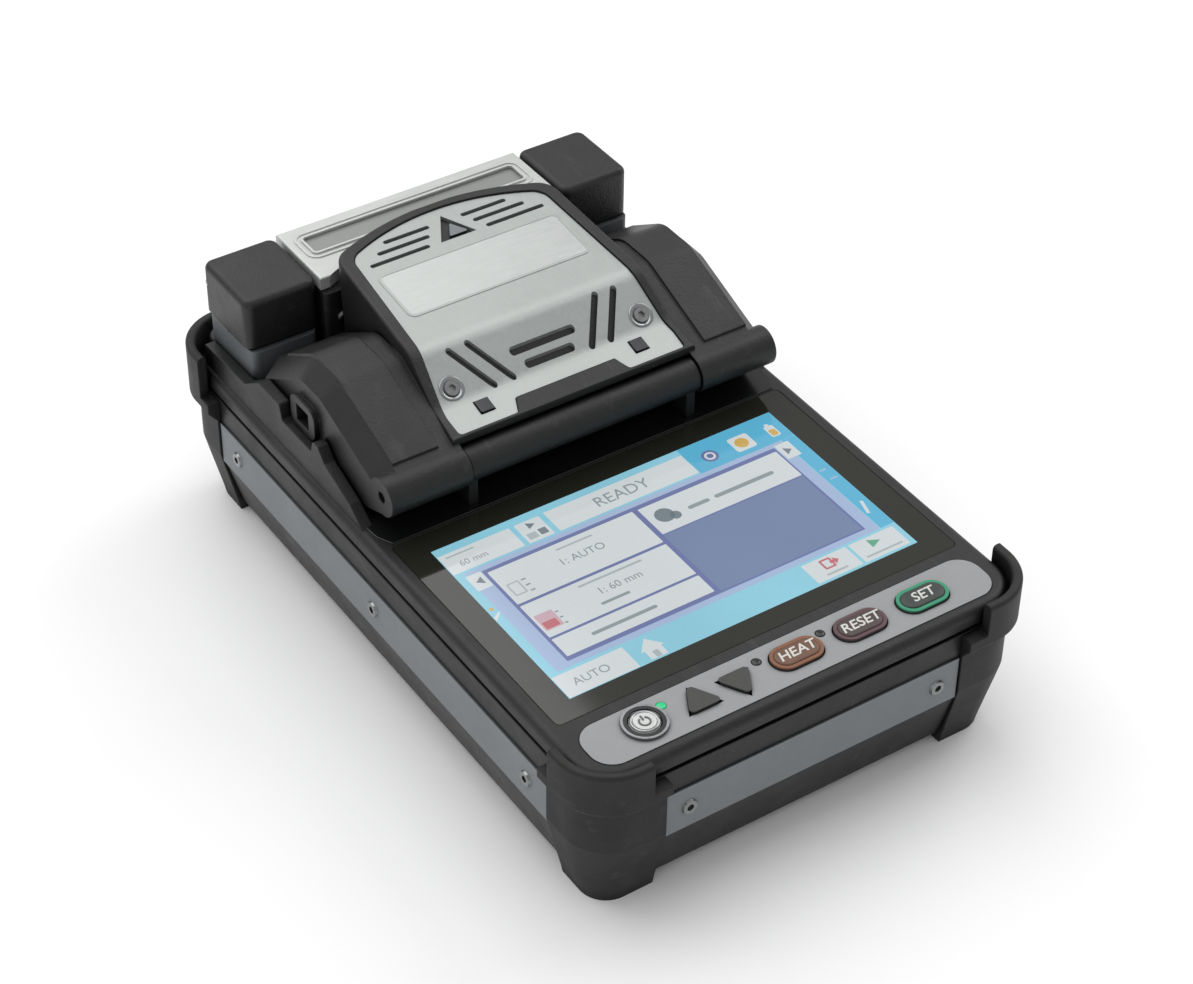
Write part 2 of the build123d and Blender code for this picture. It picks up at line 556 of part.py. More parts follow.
def make_cover_hollow():
    """The space inside the cover: under the hump and under both wings."""
    with BuildPart() as hollow:
        with BuildSketch(Plane.YZ):
            with BuildLine():
                top = FilletPolyline(*HUMP_INNER, radius=COVER_BEND_R)
                Polyline(top @ 1, (62.0, 72.2), (59.0, WING_LOW_Z - 1), (10.9, WING_LOW_Z - 1),
                         top @ 0)
            make_face()
        extrude(amount=30.5, both=True)
        with BuildSketch(Plane.YZ):
            with BuildLine():
                top = FilletPolyline(*WING_INNER, radius=9)
                Polyline(top @ 1, (58.9, WING_LOW_Z - 1), (10.9, WING_LOW_Z - 1), top @ 0)
            make_face()
        extrude(amount=WING_OUT_X - COVER_WALL, both=True)
    return hollow.part


PAD_POINTS = [(5.5, 62.06), (31.0, 71.6), (43.0, 71.6), (57.0, 62.82)]
wings = [make_wing(side) for side in (-1, 1)]
cover_hollow = make_cover_hollow()
plate_seat = plate_sheet(0.2, PLATE_T, 4.0)

with BuildPart() as wind_protector_frame:
    # centre hump, trimmed to its plan outline
    with BuildSketch(Plane.YZ):
        with BuildLine():
            top = FilletPolyline(*RIM_POINTS, radius=COVER_BEND_R)
            Polyline(top @ 1, (74.0, 77.2), (66.6, 75.6), (64.6, 72.0), (COVER_BACK_Y, WING_LOW_Z),
                     (COVER_IN_Y, WING_LOW_Z), (COVER_IN_Y, HINGE_Z + 1.5), (4.6, 61.3), top @ 0)
        make_face()
    extrude(amount=40, both=True)
    with BuildSketch(Plane.XY.offset(40)) as plan:
        with BuildLine():
            corner_x, corner_y = FRAME_CORNER
            ThreePointArc((-corner_x, corner_y), (0, FRAME_REAR_Y), (corner_x, corner_y))
            Polyline((corner_x, corner_y), *mirrored(FRAME_SIDE), (-corner_x, corner_y))
        make_face()
        fillet(plan.vertices().group_by(Axis.Y)[-1], 6.0)
    extrude(amount=45, mode=Mode.INTERSECT)
    fillet(wind_protector_frame.faces().sort_by(Axis.Z)[-1].edges(), 0.8)
    add(wings)
    add(cover_hollow, mode=Mode.SUBTRACT)
    add(plate_seat, mode=Mode.SUBTRACT)
    for plane in COVER_SCREW_PLANES:
        with BuildSketch(plane):
            Circle(STRIP_SCREW_R + RUN_GAP)
        extrude(amount=-COVER_SCREW_L - 0.3, mode=Mode.SUBTRACT)
    for side in (-1, 1):
        rod_x(HINGE_Y, HINGE_Z, side * 30, side * 60, HINGE_PIN_R + RUN_GAP, Mode.SUBTRACT)
        # fiber port with a raised loop around it
        with BuildSketch(Plane.YZ.offset(side * (WING_OUT_X - 0.2))):
            with Locations(((PORT_Y0 + PORT_Y1) / 2, (PORT_Z0 + PORT_Z1) / 2)):
                RectangleRounded(LOOP_L, LOOP_H, 3.0)
        extrude(amount=side * (LOOP_T + 0.2))
        block(side * 50, side * 62, PORT_Y0, PORT_Y1, PORT_Z0, PORT_Z1, Mode.SUBTRACT)
save(wind_protector_frame, "wind_protector_frame")

# --- slotted metal plate on the cover ------------------------------------------------------
plate_blank = plate_sheet(0, PLATE_T, 0)
REAR_SLOTS = [(4.8, 18.4, 66.4), (6.6, 22.0, 63.2), (8.5, 26.0, 59.9)]   # (x0, x1, y)
CENTRE_SLOTS = [(9.6, 20.3), (7.3, 16.8)]                                # (half length, y)
SLANT_SLOTS = [((24.9, 25.6), (16.8, 14.6)), ((19.4, 25.8), (11.2, 14.7))]

with BuildPart() as wind_protector_plate:
    add(plate_blank)
    with BuildSketch(Plane.XY.offset(50)):
        with Locations((0, 62.6)):
            Triangle(a=10.6, b=10.6, c=10.6, rotation=0)
        for x0, x1, y in REAR_SLOTS:
            with Locations(((x0 + x1) / 2, y), (-(x0 + x1) / 2, y)):
                SlotOverall(x1 - x0, 1.3)
        for half, y in CENTRE_SLOTS:
            with Locations((0, y)):
                SlotOverall(2 * half, 2.0)
        for side in (-1, 1):
            for (x0, y0), (x1, y1) in SLANT_SLOTS:
                run = math.dist((x0, y0), (x1, y1))
                turn = math.degrees(math.atan2(y0 - y1, side * (x0 - x1)))
                with Locations(Location((side * (x0 + x1) / 2, (y0 + y1) / 2), turn)):
                    SlotOverall(run, 1.7)
        with Locations(*[(side * POST_XY[0], POST_XY[1]) for side in (-1, 1)]):
            Rectangle(POST_SIDE + 0.5, POST_SIDE + 0.5)
    extrude(amount=50, mode=Mode.SUBTRACT)
    for plane in COVER_SCREW_PLANES:
        with BuildSketch(plane.offset(1.0)):
            Circle(STRIP_SCREW_R + RUN_GAP)
        extrude(amount=-COVER_SCREW_L, mode=Mode.SUBTRACT)
save(wind_protector_plate, "wind_protector_plate")

with BuildPart() as cover_screws:
    for plane in COVER_SCREW_PLANES:
        with BuildSketch(plane):
            Circle(SCREW_HEAD_R)
        extrude(amount=0.5, taper=15)
        with BuildSketch(plane):
            Circle(STRIP_SCREW_R)
        extrude(amount=-COVER_SCREW_L)
        with BuildSketch(plane.offset(0.5)):
            RegularPolygon(HEX_R, 6)
        extrude(amount=-0.8, mode=Mode.SUBTRACT)
save(cover_screws, "cover_screws")

with BuildPart() as cover_posts:
    for side in (-1, 1):
        plane = on_cover(side * POST_XY[0], POST_XY[1], 0)
        with BuildSketch(plane.offset(-PLATE_T * math.cos(SHELF_SLOPE))):
            RectangleRounded(POST_SIDE, POST_SIDE, 0.5)
        extrude(amount=PLATE_T + 0.4)
save(cover_posts, "cover_posts")

# --- inside the cover ----------------------------------------------------------------------
ARM_TIP_Z = FIBER_Z + 0.6
with BuildPart() as fiber_press_arms:
    for side in (-1, 1):
        block(side * 4, side * 7.5, FIBER_Y - 1.5, FIBER_Y + 1.5, ARM_TIP_Z, 73.0)
        block(side * 4, side * 7.5, FIBER_Y - 1.5, FIBER_Y + 7, 69.5, 73.0)
    add(cover_hollow, mode=Mode.INTERSECT)
save(fiber_press_arms, "fiber_press_arms")

# ===== splice bay ==========================================================================
BAY_FLOOR_Z = 46.6
with BuildPart() as splice_base:
    block(-54.0, 54.0, 11.4, 58.4, DECK_Z, BAY_FLOOR_Z)
    fillet(splice_base.edges().filter_by(Axis.Z), 3.0)
save(splice_base, "splice_base")

GROOVE_TOP_Z = FIBER_Z - 0.1
with BuildPart() as v_groove_block:
    for side in (-1, 1):
        block(side * 1.6, side * 10.0, FIBER_Y - 3, FIBER_Y + 3, BAY_FLOOR_Z, GROOVE_TOP_Z)
    with BuildSketch(Plane.YZ):
        with BuildLine():
            Polyline((FIBER_Y - 0.9, GROOVE_TOP_Z + 0.1), (FIBER_Y, GROOVE_TOP_Z - 0.7),
                     (FIBER_Y + 0.9, GROOVE_TOP_Z + 0.1), close=True)
        make_face()
    extrude(amount=12, both=True, mode=Mode.SUBTRACT)
save(v_groove_block, "v_groove_block")

ELECTRODE_R, ELECTRODE_TIP, ELECTRODE_GAP = 0.8, 3.0, 1.5
with BuildPart() as electrodes:
    for side in (-1, 1):
        tip_y = FIBER_Y + side * ELECTRODE_GAP
        with BuildSketch(Plane.YZ):
            with BuildLine():
                Polyline((tip_y, FIBER_Z), (tip_y + side * ELECTRODE_TIP, FIBER_Z + ELECTRODE_R),
                         (tip_y + side * 15, FIBER_Z + ELECTRODE_R), (tip_y + side * 15, FIBER_Z),
                         close=True)
            make_face()
        revolve(axis=Axis((0, 0, FIBER_Z), (0, 1, 0)))
save(electrodes, "electrodes")


HOLDER_NEAR, HOLDER_FAR = 11.5, 18.5      # how far the holders are from the fiber
with BuildPart() as electrode_holders:
    for side in (-1, 1):
        block(-5.5, 5.5, FIBER_Y + side * HOLDER_NEAR, FIBER_Y + side * HOLDER_FAR,
              BAY_FLOOR_Z, FIBER_Z + 2.5)
    fillet(electrode_holders.edges().filter_by(Axis.Z), 1.0)
    with Locations((0, FIBER_Y, FIBER_Z)):
        Cylinder(ELECTRODE_R, 2 * HOLDER_FAR + 1, rotation=(90, 0, 0), mode=Mode.SUBTRACT)
save(electrode_holders, "electrode_holders")

THUMB_R = 2.6
with BuildPart() as electrode_thumb_screws:
    for side in (-1, 1):
        y = FIBER_Y + side * 15.0
        with BuildSketch(Plane.XY.offset(FIBER_Z + 2.5)):
            with Locations((0, y)):
                Circle(THUMB_R)
            with Locations((0, y)):
                with PolarLocations(THUMB_R, 12):
                    Circle(0.3, mode=Mode.SUBTRACT)
        extrude(amount=3.4)
save(electrode_thumb_screws, "electrode_thumb_screws")

LENS_R, LENS_NEAR, LENS_FAR = 2.6, 8.2, 11.6
with BuildPart() as objective_lenses:
    for side in (-1, 1):
        tilt = math.radians(45)
        axis = (0, side * math.sin(tilt), -math.cos(tilt))
        near = (0, FIBER_Y + LENS_NEAR * axis[1], FIBER_Z + LENS_NEAR * axis[2])
        with BuildSketch(Plane(origin=near, x_dir=(1, 0, 0), z_dir=axis)):
            Circle(LENS_R)
        extrude(amount=LENS_FAR - LENS_NEAR)
        with BuildSketch(Plane(origin=near, x_dir=(1, 0, 0), z_dir=axis)):
            Circle(LENS_R - 0.7)
        extrude(amount=0.6, mode=Mode.SUBTRACT)
save(objective_lenses, "objective_lenses")

with BuildPart() as camera_modules:
    for y in (FIBER_Y - 11, FIBER_Y + 11):
        block(-5, 5, y - 4, y + 4, 37.0, 41.6)
save(camera_modules, "camera_modules")

SHEATH_IN_X, SHEATH_OUT_X, SHEATH_TOP_Z = 24.0, 46.0, FIBER_Z - 0.2
SHEATH_HINGE_Y, SHEATH_HINGE_Z = 51.5, 59.0
SHEATH_PIN_R = 0.8


with BuildPart() as sheath_clamp_bases:
    for side in (-1, 1):
        block(side * SHEATH_IN_X, side * SHEATH_OUT_X, 30.0, 48.5, BAY_FLOOR_Z, SHEATH_TOP_Z)
        # hinge ears at the back
        for ear in (SHEATH_IN_X, SHEATH_OUT_X - 3.0):
            block(side * ear, side * (ear + 3.0), 48.5, 53.5, BAY_FLOOR_Z, SHEATH_HINGE_Z)
            rod_x(SHEATH_HINGE_Y, SHEATH_HINGE_Z, side * ear, side * (ear + 3.0), 2.0)
        rod_x(SHEATH_HINGE_Y, SHEATH_HINGE_Z, side * (SHEATH_IN_X - 1), side * (SHEATH_OUT_X + 1),
              SHEATH_PIN_R, Mode.SUBTRACT)
    with BuildSketch(Plane.YZ):
        with BuildLine():
            Polyline((FIBER_Y - 0.8, SHEATH_TOP_Z + 0.1), (FIBER_Y, SHEATH_TOP_Z - 0.7),
                     (FIBER_Y + 0.8, SHEATH_TOP_Z + 0.1), close=True)
        make_face()
    extrude(amount=60, both=True, mode=Mode.SUBTRACT)
save(sheath_clamp_bases, "sheath_clamp_bases")


def make_sheath_lid(label, side):
    """Lid that presses the fiber's coating into the groove of its base."""
    with BuildPart() as lid:
        block(side * SHEATH_IN_X, side * SHEATH_OUT_X, 31.0, 48.2, FIBER_Z + 0.4, 61.0)
        fillet(lid.faces().sort_by(Axis.Z)[-1].edges(), 0.8)
        block(side * (SHEATH_IN_X + 3.4), side * (SHEATH_OUT_X - 3.4), 47.5, SHEATH_HINGE_Y,
              SHEATH_HINGE_Z - 0.8, SHEATH_HINGE_Z + 1.8)
        rod_x(SHEATH_HINGE_Y, SHEATH_HINGE_Z, side * (SHEATH_IN_X + 3.4),
              side * (SHEATH_OUT_X - 3.4), 1.8)
        rod_x(SHEATH_HINGE_Y, SHEATH_HINGE_Z, side * SHEATH_IN_X, side * SHEATH_OUT_X,
              SHEATH_PIN_R + RUN_GAP, Mode.SUBTRACT)
    save(lid, label)


make_sheath_lid("sheath_clamp_lid_left", -1)
make_sheath_lid("sheath_clamp_lid_right", 1)

with BuildPart() as sheath_clamp_pins:
    for side in (-1, 1):
        rod_x(SHEATH_HINGE_Y, SHEATH_HINGE_Z, side * SHEATH_IN_X, side * SHEATH_OUT_X, SHEATH_PIN_R)
save(sheath_clamp_pins, "sheath_clamp_pins")

# ===== tube heater =========================================================================
TROUGH_Y0, TROUGH_Y1, TROUGH_Z = 76.0, 83.0, 61.0
KNUCKLE_R, KNUCKLE_HALF_L, HEATER_PIN_R = 2.4, 12.0, 1.0
LID_LOW_Z, LID_TOP_Z, LID_BACK_Y = 70.3, 73.9, 91.0
CLAMP_LOW_Z, CLAMP_TOP_Z, CLAMP_FRONT_Y, CLAMP_BACK_Y = 59.6, 74.0, 67.6, 91.0

with BuildPart() as heater_base:
    block(-HEATER_HALF_W, HEATER_HALF_W, HEATER_FRONT_Y, HEATER_BACK_Y, RISER_Z, HEATER_TOP_Z)
    fillet(heater_base.edges().filter_by(Axis.Z), 1.5)
    block(-40, 40, TROUGH_Y0, TROUGH_Y1, TROUGH_Z, HEATER_TOP_Z + 1, Mode.SUBTRACT)
    # clearance for the lid's hinge barrels, and the fixed knuckle between them
    block(-40, 40, HEATER_AXIS_Y - 3.2, HEATER_BACK_Y + 1, HEATER_AXIS_Z - 3.0,
          HEATER_TOP_Z + 1, Mode.SUBTRACT)
    rod_x(HEATER_AXIS_Y, HEATER_AXIS_Z, -KNUCKLE_HALF_L, KNUCKLE_HALF_L, KNUCKLE_R)
    block(-KNUCKLE_HALF_L, KNUCKLE_HALF_L, HEATER_AXIS_Y - KNUCKLE_R, HEATER_AXIS_Y + 2.0,
          HEATER_AXIS_Z - 3.2, HEATER_AXIS_Z)
    rod_x(HEATER_AXIS_Y, HEATER_AXIS_Z, -40, 40, HEATER_PIN_R, Mode.SUBTRACT)
save(heater_base, "heater_base")

with BuildPart() as heater_plate:
    block(-35, 35, TROUGH_Y0, TROUGH_Y1, TROUGH_Z, TROUGH_Z + 5.5)
    block(-35, 35, TROUGH_Y0 + 0.7, TROUGH_Y1 - 0.7, TROUGH_Z + 0.7, TROUGH_Z + 6, Mode.SUBTRACT)
save(heater_plate, "heater_plate")

with BuildPart() as heater_hinge_pin:
    rod_x(HEATER_AXIS_Y, HEATER_AXIS_Z, -CLAMP_OUT_X + 0.5, CLAMP_OUT_X - 0.5, HEATER_PIN_R)
save(heater_hinge_pin, "heater_hinge_pin")

# The lid's front edge follows the rim of the wind protector, which overhangs it.
LID_SCOOP = ((-33.6, 67.6), (0, 75.4), (33.6, 67.6))
with BuildPart() as heater_lid:
    with BuildSketch(Plane.XY.offset(LID_LOW_Z)) as plan:
        with BuildLine():
            ThreePointArc(*LID_SCOOP)
            Polyline(LID_SCOOP[2], (HEATER_HALF_W, 67.6), (HEATER_HALF_W, LID_BACK_Y),
                     (-HEATER_HALF_W, LID_BACK_Y), (-HEATER_HALF_W, 67.6), LID_SCOOP[0])
        make_face()
    extrude(amount=LID_TOP_Z - LID_LOW_Z)
    fillet(heater_lid.faces().sort_by(Axis.Z)[-1].edges().filter_by(GeomType.LINE), 0.6)
    with BuildSketch(Plane.XY.offset(LID_TOP_Z)):
        with Locations((0, 81.6)):
            RectangleRounded(64.0, 7.6, 1.0)
    extrude(amount=-1.2, mode=Mode.SUBTRACT)
    for side in (-1, 1):
        start, end = side * (KNUCKLE_HALF_L + 0.4), side * (HEATER_HALF_W - 0.4)
        rod_x(HEATER_AXIS_Y, HEATER_AXIS_Z, start, end, KNUCKLE_R)
        block(start, end, HEATER_AXIS_Y - 1.8, HEATER_AXIS_Y + 1.4, HEATER_AXIS_Z, LID_LOW_Z)
        rod_x(HEATER_AXIS_Y, HEATER_AXIS_Z, side * 10, side * 40, HEATER_PIN_R + RUN_GAP,
              Mode.SUBTRACT)
save(heater_lid, "heater_lid")

with BuildPart() as heater_lid_window:
    with BuildSketch(Plane.XY.offset(LID_TOP_Z - 1.2)):
        with Locations((0, 81.6)):
            RectangleRounded(63.8, 7.4, 0.9)
    extrude(amount=0.7)
save(heater_lid_window, "heater_lid_window")


def make_heater_clamp(label, side):
    """Rounded clamp that holds the fiber beside the heater, hinged at the back."""
    with BuildPart() as clamp:
        block(side * CLAMP_IN_X, side * CLAMP_OUT_X, CLAMP_FRONT_Y, CLAMP_BACK_Y, CLAMP_LOW_Z,
              CLAMP_TOP_Z)
        fillet(clamp.edges().filter_by(Axis.Z), 2.6)
        fillet(clamp.faces().sort_by(Axis.Z)[-1].edges(), 1.8)
        rod_x(HEATER_AXIS_Y, HEATER_AXIS_Z, side * 36, side * 60, HEATER_PIN_R + RUN_GAP,
              Mode.SUBTRACT)
    save(clamp, label)


make_heater_clamp("heater_clamp_left", -1)
make_heater_clamp("heater_clamp_right", 1)

with BuildPart() as heater_clamp_seats:
    for side in (-1, 1):
        block(side * 38.6, side * 57.4, 66.2, 90.2, RISER_Z, CLAMP_LOW_Z - 0.3)
    fillet(heater_clamp_seats.edges().filter_by(Axis.Z), 2.0)
    # groove for the fiber across both seats
    block(-60, 60, 79.0, 80.0, CLAMP_LOW_Z - 1.3, CLAMP_LOW_Z, Mode.SUBTRACT)
save(heater_clamp_seats, "heater_clamp_seats")

with BuildPart() as heater_screws:
    for side in (-1, 1):
        plane = Plane(origin=(side * 31.3, HEATER_FRONT_Y, 61.5), z_dir=(0, -1, 0))
        with BuildSketch(plane):
            Circle(1.9)
        extrude(amount=0.9, taper=15)
        with BuildSketch(plane.offset(0.9)):
            RegularPolygon(0.9, 6)
        extrude(amount=-0.6, mode=Mode.SUBTRACT)
save(heater_screws, "heater_screws")

# ===== battery =============================================================================
with BuildPart() as case_envelope:
    with BuildSketch(Plane.XY.offset(TAPER_Z)) as outline:
        RectangleRounded(CASE_W, CASE_D, CASE_R)
    extrude(amount=SEAM_Z - TAPER_Z)
    extrude(outline.sketch, amount=TAPER_Z - FLOOR_Z, dir=(0, 0, -1), taper=TAPER_DEG)

LATCH_HALF_L, LATCH_Z0, LATCH_Z1 = 7.0, 24.5, 28.5
BATTERY_HALF_W = BAY_HALF_W - BATTERY_GAP
with BuildPart() as battery_pack:
    block(-BATTERY_HALF_W, BATTERY_HALF_W, BAY_FRONT_Y + 1.0, HALF_D + 1,
          BAY_LOW_Z + BATTERY_GAP, BAY_HIGH_Z - BATTERY_GAP)
    add(case_envelope.part, mode=Mode.INTERSECT)
    # pocket of the latch, and the seat of the trim strip below it
    block(-LATCH_HALF_L - 0.4, LATCH_HALF_L + 0.4, HALF_D - 3.2, HALF_D + 1, LATCH_Z0 - 1.6,
          LATCH_Z1 + 0.4, Mode.SUBTRACT)
    block(-36.0, -10.0, HALF_D - STRIP_SUNK, HALF_D + 1, 20.0, 30.0, Mode.SUBTRACT)
    block(10.0, 36.0, HALF_D - STRIP_SUNK, HALF_D + 1, 20.0, 30.0, Mode.SUBTRACT)
save(battery_pack, "battery_pack")

with BuildPart() as battery_strips:
    for side in (-1, 1):
        block(side * 10.2, side * 35.8, HALF_D - STRIP_SUNK, HALF_D - STRIP_SUNK + STRIP_T,
              20.2, 29.8)
save(battery_strips, "battery_strips")

with BuildPart() as battery_latch:
    block(-LATCH_HALF_L, LATCH_HALF_L, HALF_D - 3.0, HALF_D + 0.8, LATCH_Z0, LATCH_Z1)
    fillet(battery_latch.faces().sort_by(Axis.Y)[-1].edges(), 0.6)
save(battery_latch, "battery_latch")

# ===== inlets, tripod insert, case screws ==================================================
with BuildPart() as dc_jack:
    block(HALF_W - 15, HALF_W - 1.9, 55.6, 64.4, 8.4, 17.2)
    rod_x(60.0, 12.8, HALF_W - 11, HALF_W, 3.0, Mode.SUBTRACT)
    rod_x(60.0, 12.8, HALF_W - 11.5, HALF_W - 3.0, 1.0)
save(dc_jack, "dc_jack")

with BuildPart() as usb_port:
    block(HALF_W - 12, HALF_W - 1.9, 38.6, 47.4, 10.9, 14.7)
    block(HALF_W - 9, HALF_W, 39.2, 46.8, 11.5, 14.1, Mode.SUBTRACT)
    block(HALF_W - 9.5, HALF_W - 3, 40.2, 45.8, 12.5, 13.1)
save(usb_port, "usb_port")

TRIPOD_R, TRIPOD_L = 2.55, 9.0
with BuildPart() as tripod_insert:
    with Locations((0, -20, FLOOR_Z + TRIPOD_L / 2)):
        Cylinder(5.0, TRIPOD_L)
        Cylinder(TRIPOD_R, TRIPOD_L, mode=Mode.SUBTRACT)
save(tripod_insert, "tripod_insert")

with BuildPart() as case_screws:
    for x, y in BOSS_XY:
        with Locations((x, y, FLOOR_Z + 1.2)):
            Cylinder(2.8, 1.6)
        with Locations((x, y, (FLOOR_Z + 2.0 + 30.0) / 2)):
            Cylinder(1.4, 30.0 - FLOOR_Z - 2.0)
        with Locations((x, y, FLOOR_Z + 0.8)):
            Cylinder(1.0, 0.8, mode=Mode.SUBTRACT)
save(case_screws, "case_screws")
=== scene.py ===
"""Looks of the fiber fusion splicer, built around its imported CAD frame. Metres."""
import bpy
import bmesh
import json
import math
from mathutils import Matrix, Vector


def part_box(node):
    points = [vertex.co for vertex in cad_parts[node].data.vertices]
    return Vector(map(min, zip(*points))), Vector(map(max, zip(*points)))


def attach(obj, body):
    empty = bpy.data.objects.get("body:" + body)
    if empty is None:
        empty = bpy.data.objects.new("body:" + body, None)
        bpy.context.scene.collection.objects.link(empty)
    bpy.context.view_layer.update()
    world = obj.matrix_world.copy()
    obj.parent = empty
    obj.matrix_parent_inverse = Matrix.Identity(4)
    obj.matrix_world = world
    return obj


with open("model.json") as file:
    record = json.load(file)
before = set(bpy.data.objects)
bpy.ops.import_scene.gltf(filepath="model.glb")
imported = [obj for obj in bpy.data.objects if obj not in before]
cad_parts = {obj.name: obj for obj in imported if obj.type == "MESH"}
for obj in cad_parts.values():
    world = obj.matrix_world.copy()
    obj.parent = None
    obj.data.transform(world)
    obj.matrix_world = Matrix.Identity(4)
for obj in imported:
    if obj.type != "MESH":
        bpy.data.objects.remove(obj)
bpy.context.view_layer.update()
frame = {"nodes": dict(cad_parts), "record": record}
MM = 0.001


# ---------------------------------------------------------------- camera
CAM_POS = Vector((-0.31828, -0.47184, 0.5048))
CAM_AZ, CAM_EL, CAM_ROLL = math.radians(-34.273), math.radians(39.571), math.radians(0.875)


def make_camera():
    back = Vector((math.sin(CAM_AZ) * math.cos(CAM_EL), -math.cos(CAM_AZ) * math.cos(CAM_EL),
                   math.sin(CAM_EL)))
    fwd = -back
    right = fwd.cross(Vector((0, 0, 1))).normalized()
    up = right.cross(fwd)
    cr, sr = math.cos(CAM_ROLL), math.sin(CAM_ROLL)
    x_axis = right * cr + up * sr
    y_axis = -right * sr + up * cr
    data = bpy.data.cameras.new("camera")
    data.sensor_width = 36
    data.sensor_fit = "HORIZONTAL"
    data.lens = 88.16
    data.clip_start = 0.01
    data.clip_end = 20
    cam = bpy.data.objects.new("camera", data)
    bpy.context.scene.collection.objects.link(cam)
    cam.matrix_world = Matrix((
        (x_axis.x, y_axis.x, back.x, CAM_POS.x),
        (x_axis.y, y_axis.y, back.y, CAM_POS.y),
        (x_axis.z, y_axis.z, back.z, CAM_POS.z),
        (0, 0, 0, 1)))
    bpy.context.scene.camera = cam


make_camera()


# ---------------------------------------------------------------- materials
def rgb(text):
    """Linear colour from a web colour."""
    out = []
    for i in (1, 3, 5):
        c = int(text[i:i + 2], 16) / 255
        out.append(c / 12.92 if c <= 0.04045 else ((c + 0.055) / 1.055) ** 2.4)
    return out


def shade(c, k):
    return [min(1.0, v * k) for v in c[:3]] + [1.0]


class Nodes:
    """Small helper that adds and links shader nodes."""

    def __init__(self, name):
        self.mat = bpy.data.materials.new(name)
        self.mat.use_nodes = True
        self.tree = self.mat.node_tree
        self.bsdf = self.tree.nodes["Principled BSDF"]
        self.coord = self.tree.nodes.new("ShaderNodeTexCoord").outputs["Object"]

    def add(self, kind, **values):
        node = self.tree.nodes.new(kind)
        for key, value in values.items():
            if hasattr(node, key):
                setattr(node, key, value)
            else:
                node.inputs[key].default_value = value
        return node

    def link(self, a, b):
        self.tree.links.new(a, b)

    def mapped(self, scale):
        node = self.add("ShaderNodeMapping")
        node.inputs["Scale"].default_value = scale
        self.link(self.coord, node.inputs["Vector"])
        return node.outputs["Vector"]

    def noise(self, scale, detail=2.0, rough=0.5, vector=None):
        node = self.add("ShaderNodeTexNoise")
        node.inputs["Scale"].default_value = scale
        node.inputs["Detail"].default_value = detail
        node.inputs["Roughness"].default_value = rough
        self.link(vector or self.coord, node.inputs["Vector"])
        return node.outputs["Fac"]

    def ramp(self, fac, stops):
        node = self.add("ShaderNodeValToRGB")
        elements = node.color_ramp.elements
        while len(elements) < len(stops):
            elements.new(0.5)
        for element, (pos, color) in zip(elements, stops):
            element.position = pos
            element.color = color
        self.link(fac, node.inputs["Fac"])
        return node.outputs["Color"]

    def span(self, fac, low, high, a=0.3, b=0.7):
        node = self.add("ShaderNodeMapRange")
        node.inputs["From Min"].default_value = a
        node.inputs["From Max"].default_value = b
        node.inputs["To Min"].default_value = low
        node.inputs["To Max"].default_value = high
        self.link(fac, node.inputs["Value"])
        return node.outputs["Result"]

    def bump(self, height, distance, normal=None):
        node = self.add("ShaderNodeBump")
        node.inputs["Distance"].default_value = distance
        self.link(height, node.inputs["Height"])
        if normal:
            self.link(normal, node.inputs["Normal"])
        return node.outputs["Normal"]

    def soft_edges(self, radius):
        """Normal that rounds the moulded edges, radius in metres."""
        node = self.add("ShaderNodeBevel", samples=6)
        node.inputs["Radius"].default_value = radius
        return node.outputs["Normal"]

    def painted_crevice_shade(self, reach):
        """Painted shade: dark in narrow grooves and slots, white elsewhere."""
        node = self.add("ShaderNodeAmbientOcclusion", samples=6)
        node.inputs["Distance"].default_value = reach
        return self.ramp(node.outputs["AO"], [(0.42, (0.1, 0.1, 0.1, 1)), (0.85, (1, 1, 1, 1))])

    def mix(self, fac, a, b, blend="MIX"):
        node = self.add("ShaderNodeMix", data_type="RGBA", blend_type=blend)
        for socket, value in ((node.inputs[0], fac), (node.inputs[6], a), (node.inputs[7], b)):
            if isinstance(value, (int, float, list, tuple)):
                socket.default_value = value
            else:
                self.link(value, socket)
        return node.outputs[2]


def moulded(name, color, rough=0.5, grain=2600, depth=0.00004, vary=0.12, speck=0.35, metallic=0.0,
            dust=0.05, edge=0.0):
    """Moulded plastic, rubber or painted metal: grain, mottling, fine scuffs, dust and, where edge
    is set, painted shade in grooves and slots.
    """
    n = Nodes(name)
    c = rgb(color)
    broad = n.noise(26, 4, 0.6)
    fine = n.noise(420, 3, 0.6)
    base = n.ramp(broad, [(0.3, shade(c, 1 - vary)), (0.7, shade(c, 1 + vary))])
    base = n.mix(speck, base, n.ramp(fine, [(0.35, shade(c, 0.82)), (0.65, shade(c, 1.2))]))
    # light scuffs, drawn out along Y
    scuff = n.noise(240, 4, 0.7, n.mapped((1.0, 0.12, 1.0)))
    scuff_mask = n.span(scuff, 0.0, dust, 0.58, 0.8)
    base = n.mix(scuff_mask, base, shade(rgb("#c9c8c2"), 0.8))
    soft = None
    if edge:
        soft = n.soft_edges(edge)
        # painted shade: ambient occlusion darkens the base colour in grooves, slots and inner
        # corners
        base = n.mix(1.0, base, n.painted_crevice_shade(0.004), "MULTIPLY")
    n.link(base, n.bsdf.inputs["Base Color"])
    n.link(n.span(n.noise(60, 4, 0.65), rough - 0.07, rough + 0.07), n.bsdf.inputs["Roughness"])
    n.link(n.bump(n.noise(grain, 2, 0.5), depth, normal=soft), n.bsdf.inputs["Normal"])
    n.bsdf.inputs["Metallic"].default_value = metallic
    n.bsdf.inputs["Specular IOR Level"].default_value = 0.38
    return n.mat


